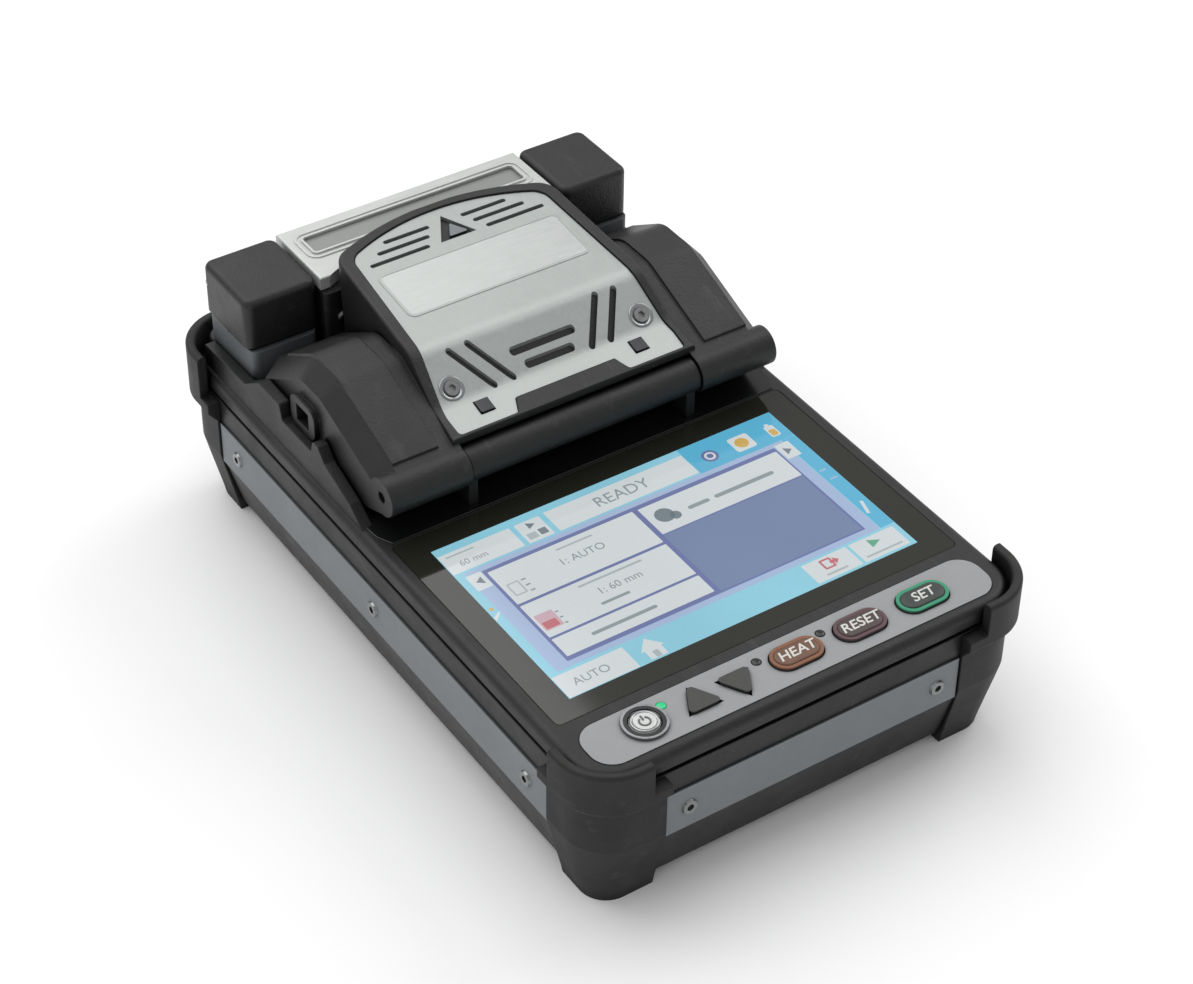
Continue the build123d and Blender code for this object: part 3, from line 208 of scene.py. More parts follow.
def metal(name, color, rough=0.35, stretch=(1, 1, 1), scale=900, depth=0.000006, metallic=1.0):
    """Brushed, blasted or turned metal."""
    n = Nodes(name)
    c = rgb(color)
    lines = n.noise(scale, 3, 0.6, n.mapped(stretch))
    stain = n.noise(35, 4, 0.6)
    base = n.ramp(lines, [(0.3, shade(c, 0.93)), (0.7, shade(c, 1.06))])
    base = n.mix(0.3, base, n.ramp(stain, [(0.35, shade(c, 0.88)), (0.65, shade(c, 1.05))]))
    n.link(base, n.bsdf.inputs["Base Color"])
    n.link(n.span(lines, rough - 0.06, rough + 0.08), n.bsdf.inputs["Roughness"])
    n.link(n.bump(lines, depth), n.bsdf.inputs["Normal"])
    n.bsdf.inputs["Metallic"].default_value = metallic
    return n.mat


def glossy(name, color, rough=0.06, vary=0.06):
    """Polished glass or lacquer over a colour, with faint smears."""
    n = Nodes(name)
    c = rgb(color)
    base = n.ramp(n.noise(18, 3), [(0.3, shade(c, 1 - vary)), (0.7, shade(c, 1 + vary))])
    n.link(base, n.bsdf.inputs["Base Color"])
    n.link(n.span(n.noise(55, 5, 0.7), rough, rough + 0.03, 0.4, 0.75), n.bsdf.inputs["Roughness"])
    return n.mat


def lit(name, color, strength=0.75, tone=0.1):
    """Lit part of the screen: soft tone changes and a fine pixel grid, behind polished glass."""
    n = Nodes(name)
    c = rgb(color)
    soft = n.ramp(n.noise(16, 2), [(0.3, shade(c, 1 - tone)), (0.7, shade(c, 1 + tone))])
    grid = n.add("ShaderNodeTexBrick", offset=0.0)
    grid.inputs["Scale"].default_value = 1.0
    grid.inputs["Brick Width"].default_value = 0.00045
    grid.inputs["Row Height"].default_value = 0.00045
    grid.inputs["Mortar Size"].default_value = 0.00005
    grid.inputs["Color1"].default_value = (1, 1, 1, 1)
    grid.inputs["Color2"].default_value = (0.97, 0.97, 0.97, 1)
    grid.inputs["Mortar"].default_value = (0.88, 0.88, 0.9, 1)
    n.link(n.coord, grid.inputs["Vector"])
    color_out = n.mix(1.0, soft, grid.outputs["Color"], "MULTIPLY")
    n.link(color_out, n.bsdf.inputs["Emission Color"])
    n.bsdf.inputs["Emission Strength"].default_value = strength
    n.bsdf.inputs["Base Color"].default_value = (0.02, 0.02, 0.02, 1)
    n.link(n.span(n.noise(55, 5, 0.7), 0.06, 0.1, 0.4, 0.75), n.bsdf.inputs["Roughness"])
    return n.mat


M = {
    "case_black": moulded("case_black", "#1a1b1a", 0.48, 1500, 0.00008, edge=0.0005),
    "cover_black": moulded("cover_black", "#1c1e1c", 0.44, 1300, 0.00009, edge=0.0005),
    "bumper_rubber": moulded("bumper_rubber", "#191918", 0.58, 1500, 0.00008, 0.14, edge=0.0007),
    "strip_grey": moulded("strip_grey", "#73787b", 0.5, 2600, 0.00003, 0.03, 0.1, edge=0.0003),
    "panel_grey": moulded("panel_grey", "#909193", 0.42, 3000, 0.00002, 0.02, 0.08, edge=0.0003),
    "screws_steel": metal("screws_steel", "#8e9090", 0.3),
    "glass_dark": glossy("glass_dark", "#22231d", 0.05),
    "lcd_face": glossy("lcd_face", "#1c6fa8", 0.1),
    "led_lens": glossy("led_lens", "#123826", 0.2),
    "plate_metal": metal("plate_metal", "#a4a8a6", 0.42, (1, 0.15, 1), 1500, 0.000008, 0.75),
    "lid_metal": metal("lid_metal", "#c0c2c0", 0.38, (0.1, 1, 1), 1200, 0.000008, 0.4),
    "lid_window": glossy("lid_window", "#868885", 0.18),
    "power_chrome": metal("power_chrome", "#97999a", 0.18, (1, 1, 1), 300),
    "power_white": glossy("power_white", "#c9cac8", 0.16),
    "key_grey": moulded("key_grey", "#3b3b3a", 0.46, 2200, 0.00004, 0.06),
    "rim_orange": glossy("rim_orange", "#7d5036", 0.3),
    "rim_maroon": glossy("rim_maroon", "#553c41", 0.3),
    "rim_green": glossy("rim_green", "#2c8a68", 0.3),
    "board_green": glossy("board_green", "#1d5a37", 0.3),
    "pin_steel": metal("pin_steel", "#a7a8a8", 0.25, (0.05, 1, 1), 2500),
    "bay_metal": moulded("bay_metal", "#2a2a2b", 0.38, 3000, 0.00002, metallic=0.4, edge=0.0003),
    "groove_ceramic": moulded("groove_ceramic", "#d8d3c6", 0.35, 3000, 0.00002, 0.05, 0.1),
    "clamp_dark": moulded("clamp_dark", "#37383a", 0.35, 3000, 0.00002, metallic=0.4, edge=0.0003),
    "thumb_brass": metal("thumb_brass", "#b98f45", 0.3),
    "lens_metal": metal("lens_metal", "#4a4a4e", 0.3),
    "heater_body": moulded("heater_body", "#202120", 0.5, 2200, 0.00005, edge=0.0004),
    "heater_metal": metal("heater_metal", "#8d8a85", 0.4, (0.1, 1, 1), 1800),
    "seat_grey": moulded("seat_grey", "#53575a", 0.5, 2600, 0.00003, 0.05, 0.15, edge=0.0004),
    "port_metal": metal("port_metal", "#7a7a7a", 0.3),
    "latch_grey": moulded("latch_grey", "#4a4e50", 0.5, 2600, 0.00003, edge=0.0003),
}
# glossy near-black; on the deck strip its darker tone is painted shade
TRIM_BLACK = glossy("trim_black", "#121413", 0.2)
LAMP_GREEN = glossy("lamp_green", "#0fa262", 0.25)
lamp_shader = LAMP_GREEN.node_tree.nodes["Principled BSDF"]
lamp_shader.inputs["Emission Color"].default_value = (0.01, 0.45, 0.2, 1)
lamp_shader.inputs["Emission Strength"].default_value = 0.5

for entry in frame["record"]["subparts"]:
    node = frame["nodes"][entry["node"]]
    node.data.materials.clear()
    node.data.materials.append(M[entry["material_slot"]])


# ---------------------------------------------------------------- mesh helpers
def new_object(name, data, body, *mats, slot=None):
    obj = bpy.data.objects.new(name, data)
    bpy.context.scene.collection.objects.link(obj)
    for m in mats:
        data.materials.append(m)
    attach(obj, body)
    return obj


def smooth(obj):
    for face in obj.data.polygons:
        face.use_smooth = True


def bevelled(obj, width, segments=2, angle=35):
    mod = obj.modifiers.new("edge", "BEVEL")
    mod.width = width
    mod.segments = segments
    mod.limit_method = "ANGLE"
    mod.angle_limit = math.radians(angle)
    return obj


def rounded(x0, x1, y0, y1, r, n=6):
    """Corner points of a rounded rectangle, counter-clockwise."""
    pts = []
    for cx, cy, a0 in ((x1 - r, y1 - r, 0), (x0 + r, y1 - r, 90), (x0 + r, y0 + r, 180),
                       (x1 - r, y0 + r, 270)):
        for i in range(n + 1):
            a = math.radians(a0 + 90 * i / n)
            pts.append((cx + r * math.cos(a), cy + r * math.sin(a)))
    return pts


def disc(cx, cy, r, n=24, a0=0.0, a1=360.0):
    span = [math.radians(a0 + (a1 - a0) * i / n) for i in range(n if a1 - a0 == 360 else n + 1)]
    return [(cx + r * math.cos(a), cy + r * math.sin(a)) for a in span]


def add_prism(bm, pts, z0, z1, mat=0, place=None):
    """Closed prism over a flat outline. place maps (x, y, z) in mm to a point in metres."""
    place = place or (lambda x, y, z: Vector((x * MM, y * MM, z * MM)))
    low = [bm.verts.new(place(x, y, z0)) for x, y in pts]
    top = [bm.verts.new(place(x, y, z1)) for x, y in pts]
    faces = [bm.faces.new(top), bm.faces.new(list(reversed(low)))]
    for i in range(len(pts)):
        j = (i + 1) % len(pts)
        faces.append(bm.faces.new((low[i], low[j], top[j], top[i])))
    for f in faces:
        f.material_index = mat
    return faces


def mesh_from(name, bm):
    bmesh.ops.recalc_face_normals(bm, faces=bm.faces)
    data = bpy.data.meshes.new(name)
    bm.to_mesh(data)
    bm.free()
    return data


def lathe(bm, profile, n=40, mat=0, place=None):
    """Closed solid turned from (radius, height) points; the first and last lie on the axis."""
    place = place or (lambda x, y, z: Vector((x * MM, y * MM, z * MM)))
    first = bm.verts.new(place(0, 0, profile[0][1]))
    last = bm.verts.new(place(0, 0, profile[-1][1]))
    rings = []
    for r, z in profile[1:-1]:
        rings.append([bm.verts.new(place(r * math.cos(2 * math.pi * i / n),
                                         r * math.sin(2 * math.pi * i / n), z))
                      for i in range(n)])
    for i in range(n):
        j = (i + 1) % n
        bm.faces.new((first, rings[0][i], rings[0][j])).material_index = mat
        bm.faces.new((last, rings[-1][j], rings[-1][i])).material_index = mat
        for a, b in zip(rings, rings[1:]):
            bm.faces.new((a[i], b[i], b[j], a[j])).material_index = mat


def ring_prism(bm, outer, inner, z0, z1, mat=0, place=None):
    """Closed flat ring between two outlines with the same number of points."""
    place = place or (lambda x, y, z: Vector((x * MM, y * MM, z * MM)))
    loops = [[bm.verts.new(place(x, y, z)) for x, y in pts]
             for pts, z in ((outer, z0), (outer, z1), (inner, z1), (inner, z0))]
    n = len(outer)
    for k in range(4):
        a, b = loops[k], loops[(k + 1) % 4]
        for i in range(n):
            j = (i + 1) % n
            bm.faces.new((a[i], a[j], b[j], b[i])).material_index = mat


def lettering(name, text, cx, cy, z, height, body, mat, shear=0.0, bold=0.0, place=None, slot=None):
    """Flat raised lettering as a mesh, centred on a point; cap height in mm."""
    curve = bpy.data.curves.new(name, "FONT")
    curve.body = text
    curve.size = height * MM / 0.72
    curve.shear = shear
    curve.offset = bold * MM
    curve.extrude = 0.03 * MM
    curve.resolution_u = 4
    curve.align_x = "CENTER"
    curve.align_y = "CENTER"
    temp = bpy.data.objects.new(name + "_curve", curve)
    bpy.context.scene.collection.objects.link(temp)
    bpy.context.view_layer.update()
    data = bpy.data.meshes.new_from_object(temp)
    bpy.data.objects.remove(temp)
    bpy.data.curves.remove(curve)
    for v in data.vertices:
        x, y, up = v.co.x / MM + cx, v.co.y / MM + cy, v.co.z / MM + z
        v.co = place(x, y, up) if place else Vector((x, y, up)) * MM
    data.name = name
    return new_object(name, data, body, mat, slot=slot)


# ---------------------------------------------------------------- screen
GLASS_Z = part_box("display_glass")[1].z / MM
SCREEN_X0, SCREEN_X1, SCREEN_Y0, SCREEN_Y1 = -50.7, 50.4, -69.6, -8.6

SCREEN = {
    "sky": lit("screen_sky", "#8ecfe2", 0.9),
    "deep": lit("screen_deep", "#5ab8dc", 0.86),
    "haze": lit("screen_haze", "#a9bfe0", 0.86, 0.06),
    "white": lit("screen_white", "#d3dadb", 0.94, 0.04),
    "border": lit("screen_border", "#717eb6", 0.76),
    "violet": lit("screen_violet", "#7d90b8", 0.76, 0.08),
    "text": lit("screen_text", "#98a5a9", 0.8),
    "pale": lit("screen_pale", "#b4bfc1", 0.84),
    "red": lit("screen_red", "#c9727a", 0.84),
    "pink": lit("screen_pink", "#d3b1bb", 0.86),
    "green": lit("screen_green", "#5fae8d", 0.84),
    "amber": lit("screen_amber", "#d8b35c", 0.84),
    "ink": lit("screen_ink", "#7f8e96", 0.74),
}
SCREEN_KEYS = list(SCREEN)


LAYER = 0.008        # height of one tinted layer of the picture
LAYER_LAP = 0.004    # how far a layer sinks into the one below


def make_screen():
    """The picture on the screen, as thin tinted layers on the glass."""
    bm = bmesh.new()

    def box(key, x0, x1, y0, y1, layer, r=0.25):
        shape(key, rounded(x0, x1, y0, y1, r, 3), layer)

    def shape(key, pts, layer):
        add_prism(bm, pts, GLASS_Z + LAYER * layer - LAYER_LAP, GLASS_Z + LAYER * (layer + 1),
                  SCREEN_KEYS.index(key))

    def line(key, x0, x1, y, layer, h=0.7):
        box(key, x0, x1, y - h / 2, y + h / 2, layer, h / 2 - 0.01)

    box("sky", SCREEN_X0, SCREEN_X1, SCREEN_Y0, SCREEN_Y1, 0, 0.1)
    box("deep", 21.5, SCREEN_X1 - 0.05, -19.6, SCREEN_Y1 - 0.05, 1, 0.1)
    box("deep", 46.2, SCREEN_X1 - 0.05, -60.5, -19.7, 1, 0.1)
    # title row
    box("white", -50.5, -30.2, -18.9, -11.2, 2)
    box("white", -28.8, -21.6, -18.9, -11.2, 2)
    box("white", -20.0, 21.3, -18.9, -10.9, 2)
    line("pale", -49.0, -41.0, -12.6, 3, 0.5)
    shape("ink", [(-26.0, -14.3), (-26.0, -11.9), (-23.8, -13.1)], 3)
    box("pale", -28.0, -25.3, -17.9, -15.6, 3)
    box("ink", -24.6, -22.4, -17.7, -15.4, 3)
    shape("border", disc(27.4, -15.0, 2.3), 2)
    ring = [disc(27.4, -15.0, 1.5), disc(27.4, -15.0, 0.9)]
    ring_prism(bm, ring[0], ring[1], GLASS_Z + 0.02, GLASS_Z + 0.032, SCREEN_KEYS.index("white"))
    box("white", 34.3, 40.3, -17.9, -12.1, 2, 0.8)
    shape("amber", disc(37.2, -15.0, 1.9), 3)
    box("white", 45.2, 47.9, -17.6, -13.0, 2, 0.5)
    box("white", 46.0, 47.1, -13.0, -12.2, 2, 0.2)
    box("amber", 45.6, 47.5, -17.2, -14.7, 3, 0.3)
    # main window
    box("haze", -48.2, 46.0, -60.6, -19.6, 2, 0.6)
    box("white", -48.6, -44.4, -27.0, -21.0, 3)
    box("white", 43.2, 47.4, -26.8, -20.6, 3)
    shape("ink", [(-47.4, -24.0), (-45.4, -25.4), (-45.4, -22.6)], 4)
    shape("ink", [(46.4, -23.8), (44.4, -22.4), (44.4, -25.2)], 4)
    box("border", -44.2, 42.8, -58.8, -21.2, 4)
    box("white", -43.3, -1.4, -36.0, -22.4, 5)
    box("white", -43.3, -1.4, -49.8, -36.9, 5)
    box("white", -43.3, -1.4, -57.4, -50.6, 5)
    box("white", 0.1, 42.3, -33.6, -22.6, 5)
    box("violet", 0.0, 42.1, -58.2, -34.1, 5)
    # left cards: small icons and lines of unreadable text
    line("pale", -25.0, -14.5, -24.4, 6, 0.6)
    ring_prism(bm, rounded(-42.0, -38.6, -33.4, -28.6, 0.3, 3),
               rounded(-41.6, -39.0, -33.0, -29.0, 0.2, 3), GLASS_Z + 0.05, GLASS_Z + 0.06,
               SCREEN_KEYS.index("pale"))
    for y in (-29.0, -31.2, -33.4):
        line("text", -38.0, -36.6, y, 6, 0.5)
    line("pale", -28.0, -9.6, -38.6, 6, 0.7)
    box("pink", -42.6, -37.6, -47.6, -41.6, 6, 0.4)
    box("red", -42.2, -38.4, -47.2, -44.6, 7, 0.3)
    for y in (-43.0, -45.2, -47.4):
        line("text", -37.4, -36.4, y, 6, 0.5)
    line("text", -26.6, -18.4, -46.6, 6, 0.9)
    line("text", -34.4, -15.8, -54.2, 6, 1.1)
    # right card: speech-bubble icon and a line of unreadable text
    shape("ink", disc(4.6, -27.8, 2.6), 6)
    shape("ink", disc(7.0, -29.2, 1.5), 6)
    for x0, x1 in ((11.0, 17.4), (19.0, 37.0)):
        line("text", x0, x1, -28.8, 6, 1.3)
    # side marks
    shape("amber", disc(-49.4, -34.0, 0.6, 12), 2)
    shape("white", [(-50.4, -38.2), (-48.2, -36.0), (-48.4, -35.6), (-50.6, -37.0)], 2)
    line("haze", 46.8, 48.8, -34.9, 3, 0.6)
    line("haze", 47.2, 49.4, -38.8, 3, 0.6)
    shape("white", [(46.8, -54.2), (47.6, -54.6), (48.9, -49.9), (48.1, -49.5)], 3)
    # bottom row
    box("white", -50.5, -31.0, -69.4, -61.6, 2)
    shape("white", [(-27.4, -69.0), (-22.8, -69.0), (-22.8, -65.8), (-21.9, -65.8),
                    (-25.1, -62.0), (-28.3, -65.8), (-27.4, -65.8)], 2)
    box("pale", -25.9, -24.3, -68.9, -66.6, 3)
    box("white", 21.1, 34.5, -68.8, -61.4, 2)
    box("white", 35.4, 48.9, -68.8, -61.4, 2)
    ring_prism(bm, rounded(25.6, 28.9, -65.8, -62.2, 0.4, 3),
               rounded(26.2, 28.3, -65.2, -62.8, 0.2, 3), GLASS_Z + 0.02, GLASS_Z + 0.032,
               SCREEN_KEYS.index("red"))
    shape("red", [(28.0, -64.5), (28.0, -63.5), (29.2, -63.5), (29.2, -62.7), (30.6, -64.0),
                  (29.2, -65.3), (29.2, -64.5)], 4)
    line("pale", 24.6, 31.0, -67.4, 3, 0.7)
    shape("green", [(40.2, -65.3), (40.2, -62.2), (43.4, -63.8)], 3)
    line("pale", 36.6, 47.6, -67.4, 3, 0.7)
    new_object("screen_picture", mesh_from("screen_picture", bm), "chassis",
               *[SCREEN[k] for k in SCREEN_KEYS], slot="lcd_face")
    lettering("screen_word_ready", "READY", 0.6, -15.0, GLASS_Z + 0.04, 3.7, "chassis",
              SCREEN["text"], slot="lcd_face")
    lettering("screen_word_size", "60 mm", -43.2, -16.2, GLASS_Z + 0.04, 2.0, "chassis",
              SCREEN["text"], slot="lcd_face")
    lettering("screen_word_mode", "1: AUTO", -20.4, -29.0, GLASS_Z + 0.07, 2.5, "chassis",
              SCREEN["text"], slot="lcd_face")
    lettering("screen_word_sleeve", "1: 60 mm", -18.6, -42.6, GLASS_Z + 0.07, 2.4, "chassis",
              SCREEN["text"], slot="lcd_face")
    lettering("screen_word_auto", "AUTO", -42.0, -65.6, GLASS_Z + 0.04, 2.6, "chassis",
              SCREEN["text"], slot="lcd_face")


make_screen()


# ---------------------------------------------------------------- deck behind the glass
def make_deck_shade_trim():
    """Glossy black trim strip, its darker tone painted shade, between the glass and the splice bay,
    with two spring clips.
    """
    z = 44.3
    bm = bmesh.new()
    outline = [(-57.0, -1.2), (57.0, -1.2), (59.0, 3.0), (59.4, 7.2), (57.0, 10.8),
               (-57.0, 10.8), (-59.4, 7.2), (-59.0, 3.0)]
    # painted shade: a darker glossy sheet laid over the deck, which lies in shade under the hinge
    # bar
    add_prism(bm, outline, z - 0.1, z + 0.35)
    trim = new_object("deck_shade_trim", mesh_from("deck_shade_trim", bm), "chassis", TRIM_BLACK,
                      slot="cover_black")
    bevelled(trim, 0.15 * MM, 2, 40)
    bm = bmesh.new()
    for side in (-1, 1):
        add_prism(bm, rounded(side * 28.0 - 3.0, side * 28.0 + 3.0, 8.9, 10.0, 0.4, 4),
                  z + 0.2, z + 1.0)
    clips = new_object("deck_clips", mesh_from("deck_clips", bm), "chassis", M["pin_steel"],
                       slot="pin_steel")
    bevelled(clips, 0.12 * MM, 2, 40)


make_deck_shade_trim()


# ---------------------------------------------------------------- keys
def pill(cx, cy, length, height, n=14):
    r = height / 2
    half = length / 2 - r
    pts = [(cx + half + r * math.cos(a), cy + r * math.sin(a))
           for a in [math.radians(-90 + 180 * i / n) for i in range(n + 1)]]
    pts += [(cx - half + r * math.cos(a), cy + r * math.sin(a))
            for a in [math.radians(90 + 180 * i / n) for i in range(n + 1)]]
    return pts


def soft_corners(pts, r, n=5):
    """Outline with its corners rounded to radius r."""
    out = []
    for i, p in enumerate(pts):
        corner = Vector(p)
        to_last = (Vector(pts[i - 1]) - corner).normalized()
        to_next = (Vector(pts[(i + 1) % len(pts)]) - corner).normalized()
        half = to_last.angle(to_next) / 2
        centre = corner + (to_last + to_next).normalized() * (r / math.sin(half))
        start = corner + to_last * (r / math.tan(half)) - centre
        end = corner + to_next * (r / math.tan(half)) - centre
        a0 = math.atan2(start.y, start.x)
        turn = (math.atan2(end.y, end.x) - a0 + math.pi) % (2 * math.pi) - math.pi
        for k in range(n + 1):
            a = a0 + turn * k / n
            out.append((centre.x + r * math.cos(a), centre.y + r * math.sin(a)))
    return out


def node_centre(node):
    low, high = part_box(node)
    return ((low.x + high.x) / 2 / MM, (low.y + high.y) / 2 / MM, high.z / MM)


def make_pill_caps():
    """Domed, lettered caps of the three pill keys, inside their coloured rims."""
    white = moulded("key_print", "#c9c9c4", 0.45, 3000, 0.00001, 0.04, 0.1, dust=0.0)
    for key, word, tint in (("heat", "HEAT", "#664837"), ("reset", "RESET", "#453738"),
                            ("set", "SET", "#333a37")):
        cx, cy, top = node_centre(key + "_button")
        bm = bmesh.new()
        rings = []
        for inset, rise in ((0.0, -0.1), (0.0, 0.02), (0.35, 0.16), (0.9, 0.24), (1.8, 0.28)):
            rings.append([bm.verts.new(Vector((x, y, top + rise)) * MM)
                          for x, y in pill(cx, cy, 12.1 - 2 * inset, 5.9 - 2 * inset)])
        for a, b in zip(rings, rings[1:]):
            for i in range(len(a)):
                j = (i + 1) % len(a)
                bm.faces.new((a[i], a[j], b[j], b[i]))
        bm.faces.new(rings[-1])
        bm.faces.new(list(reversed(rings[0])))
        for f in bm.faces:
            f.smooth = True
        cap = moulded("cap_" + key, tint, 0.42, 1800, 0.00003, 0.1)
        new_object(key + "_cap", mesh_from(key + "_cap", bm), key + "_key", cap, slot="key_grey")
        lettering(key + "_word", word, cx, cy, top + 0.27, 3.0, key + "_key", white, 0.22, 0.06,
                  slot="key_grey")


ARROW_FLANGE_R = 6.2    # circumscribed radius of the hidden flange, which sets the node's box
ARROW_CAP_R = 5.7
ARROW_CORNER_R = 1.1


def make_arrow_caps():
    """Triangular caps with rounded corners on the two arrow keys."""
    for key, tip in (("up", 1), ("down", -1)):
        low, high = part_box(key + "_button")
        cx, _, top = node_centre(key + "_button")
        cy = (low.y if tip > 0 else high.y) / MM + tip * ARROW_FLANGE_R / 2
        r = ARROW_CAP_R
        side = r * math.cos(math.radians(30))
        corners = [(cx - side, cy - tip * r / 2), (cx + side, cy - tip * r / 2), (cx, cy + tip * r)]
        bm = bmesh.new()
        add_prism(bm, soft_corners(corners, ARROW_CORNER_R), top - 0.05, top + 0.3)
        cap = new_object(key + "_cap", mesh_from(key + "_cap", bm), key + "_key", M["key_grey"],
                         slot="key_grey")
        bevelled(cap, 0.22 * MM, 3, 40)


POWER_SCALE = 0.88    # the power key's profiles below are drawn larger than the key


def make_power_key():
    """Turned rings, frosted centre, standby sign and the groove round the power key."""
    cx, cy, top = node_centre("power_button")
    at = lambda x, y, z: Vector((cx + POWER_SCALE * x, cy + POWER_SCALE * y, top + z)) * MM
    bm = bmesh.new()
    lathe(bm, [(0, -0.9), (4.05, -0.9), (4.1, -0.15), (3.9, 0.12), (3.5, 0.16), (3.1, 0.02),
               (2.95, -0.35), (0, -0.42)], 48, 0, at)
    ring = new_object("power_key_ring", mesh_from("power_key_ring", bm), "power_key",
                      M["power_chrome"], slot="power_chrome")
    smooth(ring)
    bm = bmesh.new()
    lathe(bm, [(0, -0.5), (2.9, -0.5), (2.92, -0.2), (2.6, -0.08), (1.6, -0.16), (0, -0.22)],
          40, 0, at)
    face = new_object("power_key_face", mesh_from("power_key_face", bm), "power_key",
                      M["power_white"], slot="power_white")
    smooth(face)
    bm = bmesh.new()
    outer = disc(0, 0, 1.75, 30, 120, 420)
    inner = disc(0, 0, 1.3, 30, 120, 420)
    add_prism(bm, outer + inner[::-1], -0.25, 0.0, 0, at)
    add_prism(bm, rounded(-0.22, 0.22, 0.5, 2.3, 0.2, 3), -0.25, 0.02, 0, at)
    sign = moulded("sign_grey", "#55585a", 0.4, 3000, 0.00001, 0.05, 0.1, dust=0.0)
    new_object("power_key_sign", mesh_from("power_key_sign", bm), "power_key", sign,
               slot="power_white")
    px, py, ptop = node_centre("power_button_bezel")
    put = lambda x, y, z: Vector((px + POWER_SCALE * x, py + POWER_SCALE * y, ptop + z)) * MM
    bm = bmesh.new()
    ring_prism(bm, disc(0, 0, 5.7, 48), disc(0, 0, 4.62, 48), -0.35, 0.02, 0, put)
    new_object("power_groove", mesh_from("power_groove", bm), "chassis", TRIM_BLACK,
               slot="cover_black")


def make_lamps():
    """Lamps behind the panel: the power lamp lit green, the other two dark."""
    for name, node_xy, lamp in (("lamp_power", (-34.6, -82.9), True),
                                ("lamp_ready", (-7.8, -82.9), False),
                                ("lamp_heater", (10.5, -83.1), False)):
        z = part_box("status_leds")[1].z / MM
        put = lambda x, y, h, c=node_xy, z=z: Vector((c[0] + x, c[1] + y, z + h)) * MM
        bm = bmesh.new()
        lathe(bm, [(0, -0.2), (1.2, -0.2), (1.22, 0.02), (0.9, 0.16), (0.4, 0.22), (0, 0.23)],
              24, 0, put)
        m = LAMP_GREEN if lamp else TRIM_BLACK
        obj = new_object(name, mesh_from(name, bm), "chassis", m, slot="led_lens")
        smooth(obj)


make_pill_caps()
make_arrow_caps()
make_power_key()
make_lamps()


# ---------------------------------------------------------------- wind protector
def on_plate(x, y, up=0.0):
    """Point on the plate's top run between (27, 74.4) and (74, 79.7), raised by up."""
    slope = math.atan2(5.3, 47.0)
    z = 74.4 + (y - 27.0) * math.tan(slope)
    return Vector((x, y - up * math.sin(slope), z + up * math.cos(slope))) * MM


def make_plate_label():
    """Blank name field: a shallow frame round a finely brushed area."""
    bm = bmesh.new()
    outer = rounded(-27.0, 27.0, 38.3, 56.0, 2.2, 6)
    inner = rounded(-26.2, 26.2, 39.1, 55.2, 1.5, 6)
    ring_prism(bm, outer, inner, -0.1, 0.16, 0, on_plate)
    rim = new_object("label_frame", mesh_from("label_frame", bm), "wind_protector",
                     M["plate_metal"], slot="plate_metal")
    bevelled(rim, 0.06 * MM, 2, 40)
    bm = bmesh.new()
    add_prism(bm, inner, -0.1, 0.05, 0, on_plate)
    new_object("label_field", mesh_from("label_field", bm), "wind_protector",
               metal("label_metal", "#b6b9b7", 0.36, (0.1, 1, 1), 1600, 0.000006, 0.7),
               slot="plate_metal")
    # small raised triangle inside the triangular opening
    bm = bmesh.new()
    add_prism(bm, soft_corners([(-1.9, 60.9), (3.8, 60.9), (0.7, 65.6)], 0.35, 3), -1.0, -0.25, 0,
              on_plate)
    mark = new_object("plate_mark", mesh_from("plate_mark", bm), "wind_protector",
                      M["strip_grey"], slot="strip_grey")
    bevelled(mark, 0.15 * MM, 2, 40)


make_plate_label()


def make_screw_cups():
    """Countersunk washers under the two plate screws."""
    slope = math.atan2(9.0, 12.4)
    for name, side in (("screw_cup_left", -1), ("screw_cup_right", 1)):
        y = 17.7
        z = 65.4 + (y - 14.6) * math.tan(slope)

        def put(x, v, h, side=side, y=y, z=z):
            return Vector((side * 28.1 + x, y + v * math.cos(slope) - h * math.sin(slope),
                           z + v * math.sin(slope) + h * math.cos(slope))) * MM
        bm = bmesh.new()
        n = 40
        profile = [(2.0, -0.05), (3.3, -0.05), (3.3, 0.18), (3.1, 0.3), (2.75, 0.26), (2.25, 0.06)]
        rings = [[bm.verts.new(put(r * math.cos(2 * math.pi * i / n),
                                   r * math.sin(2 * math.pi * i / n), h)) for i in range(n)]
                 for r, h in profile]
        for k in range(len(rings)):
            a, b = rings[k], rings[(k + 1) % len(rings)]
            for i in range(n):
                j = (i + 1) % n
                bm.faces.new((a[i], a[j], b[j], b[i])).smooth = True
        new_object(name, mesh_from(name, bm), "wind_protector", M["power_chrome"],
                   slot="screws_steel")


make_screw_cups()


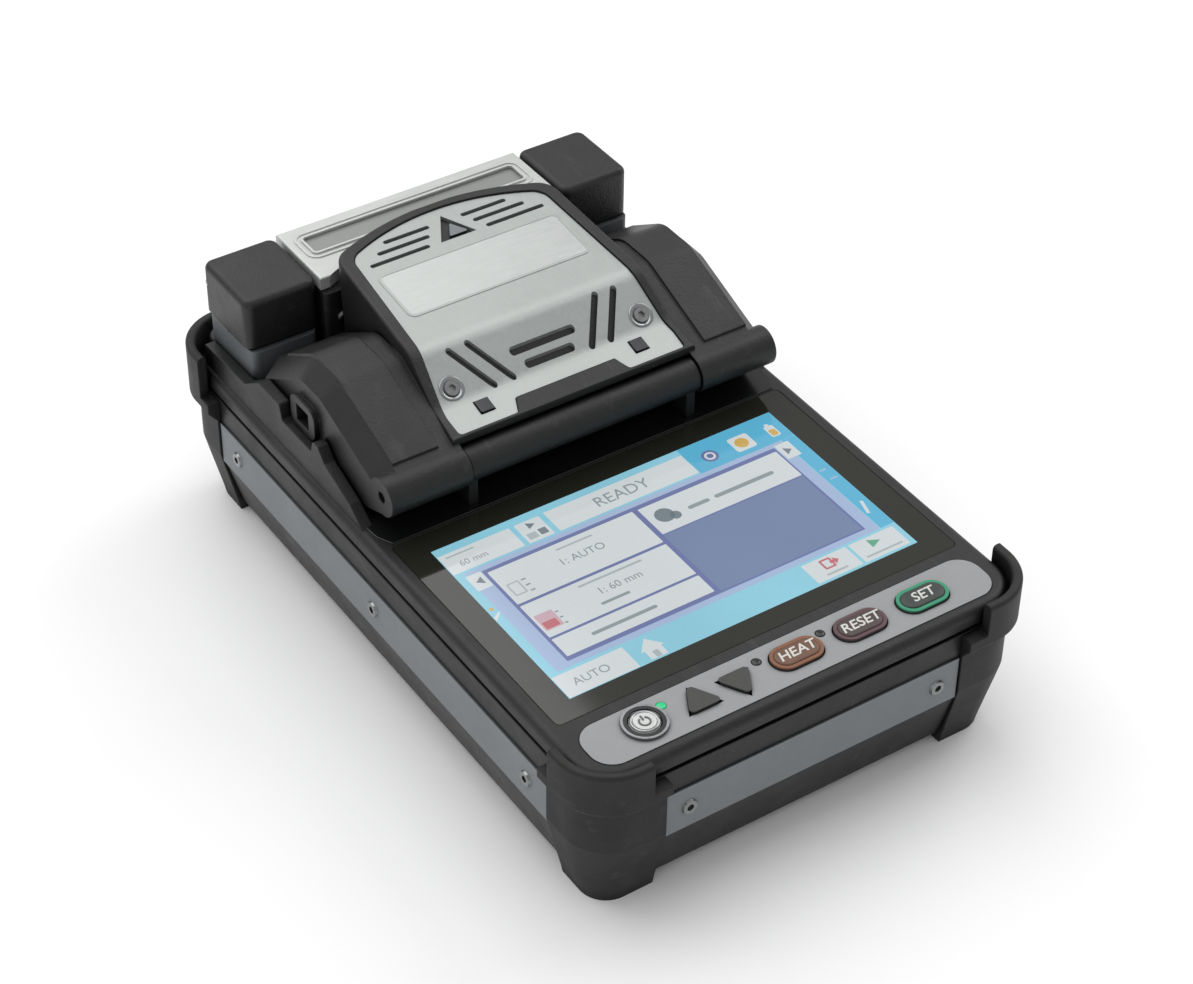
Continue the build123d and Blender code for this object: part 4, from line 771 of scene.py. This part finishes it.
# ---------------------------------------------------------------- heater lid
def make_lid_trim():
    """Raised double frame round the smoked window of the heater lid."""
    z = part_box("heater_lid")[1].z / MM
    bm = bmesh.new()
    for grow, low, high in ((2.2, -0.1, 0.35), (0.5, -0.1, 0.55)):
        outer = rounded(-32 - grow, 32 + grow, 81.6 - 3.8 - grow, 81.6 + 3.8 + grow, 1.0 + grow, 5)
        inner = rounded(-32 - grow + 0.7, 32 + grow - 0.7, 81.6 - 3.1 - grow, 81.6 + 3.1 + grow,
                        0.4 + grow, 5)
        ring_prism(bm, outer, inner, z + low, z + high)
    trim = new_object("lid_trim", mesh_from("lid_trim", bm), "heater_lid", M["lid_metal"],
                      slot="lid_metal")
    bevelled(trim, 0.1 * MM, 2, 40)


make_lid_trim()


# ---------------------------------------------------------------- floor, light
def make_stage():
    bm = bmesh.new()
    bmesh.ops.create_grid(bm, x_segments=8, y_segments=8, size=3.0)
    data = bpy.data.meshes.new("floor")
    bm.to_mesh(data)
    bm.free()
    floor = bpy.data.objects.new("floor", data)
    bpy.context.scene.collection.objects.link(floor)
    n = Nodes("floor_white")
    n.link(n.ramp(n.noise(3, 2), [(0.3, (0.9, 0.9, 0.9, 1)), (0.7, (0.93, 0.93, 0.93, 1))]),
           n.bsdf.inputs["Base Color"])
    n.bsdf.inputs["Roughness"].default_value = 0.8
    n.bsdf.inputs["Specular IOR Level"].default_value = 0.1
    data.materials.append(n.mat)

    world = bpy.data.worlds.new("studio")
    world.use_nodes = True
    world.node_tree.nodes["Background"].inputs["Color"].default_value = (1, 1, 1, 1)
    world.node_tree.nodes["Background"].inputs["Strength"].default_value = 0.6
    bpy.context.scene.world = world
    bpy.context.scene.view_settings.view_transform = "Standard"

    for name, place, size, power in (
        ("key_light", (-0.15, 0.7, 1.4), 1.8, 17),
        ("left_light", (-1.3, -0.2, 0.8), 0.9, 1.5),
        ("right_light", (1.1, 0.2, 1.0), 0.8, 5),
    ):
        lamp = bpy.data.lights.new(name, "AREA")
        lamp.size = size
        lamp.energy = power
        obj = bpy.data.objects.new(name, lamp)
        obj.location = place
        aim = Vector((0, 0, 0.03)) - Vector(place)
        obj.rotation_euler = aim.to_track_quat("-Z", "Y").to_euler()
        bpy.context.scene.collection.objects.link(obj)


make_stage()
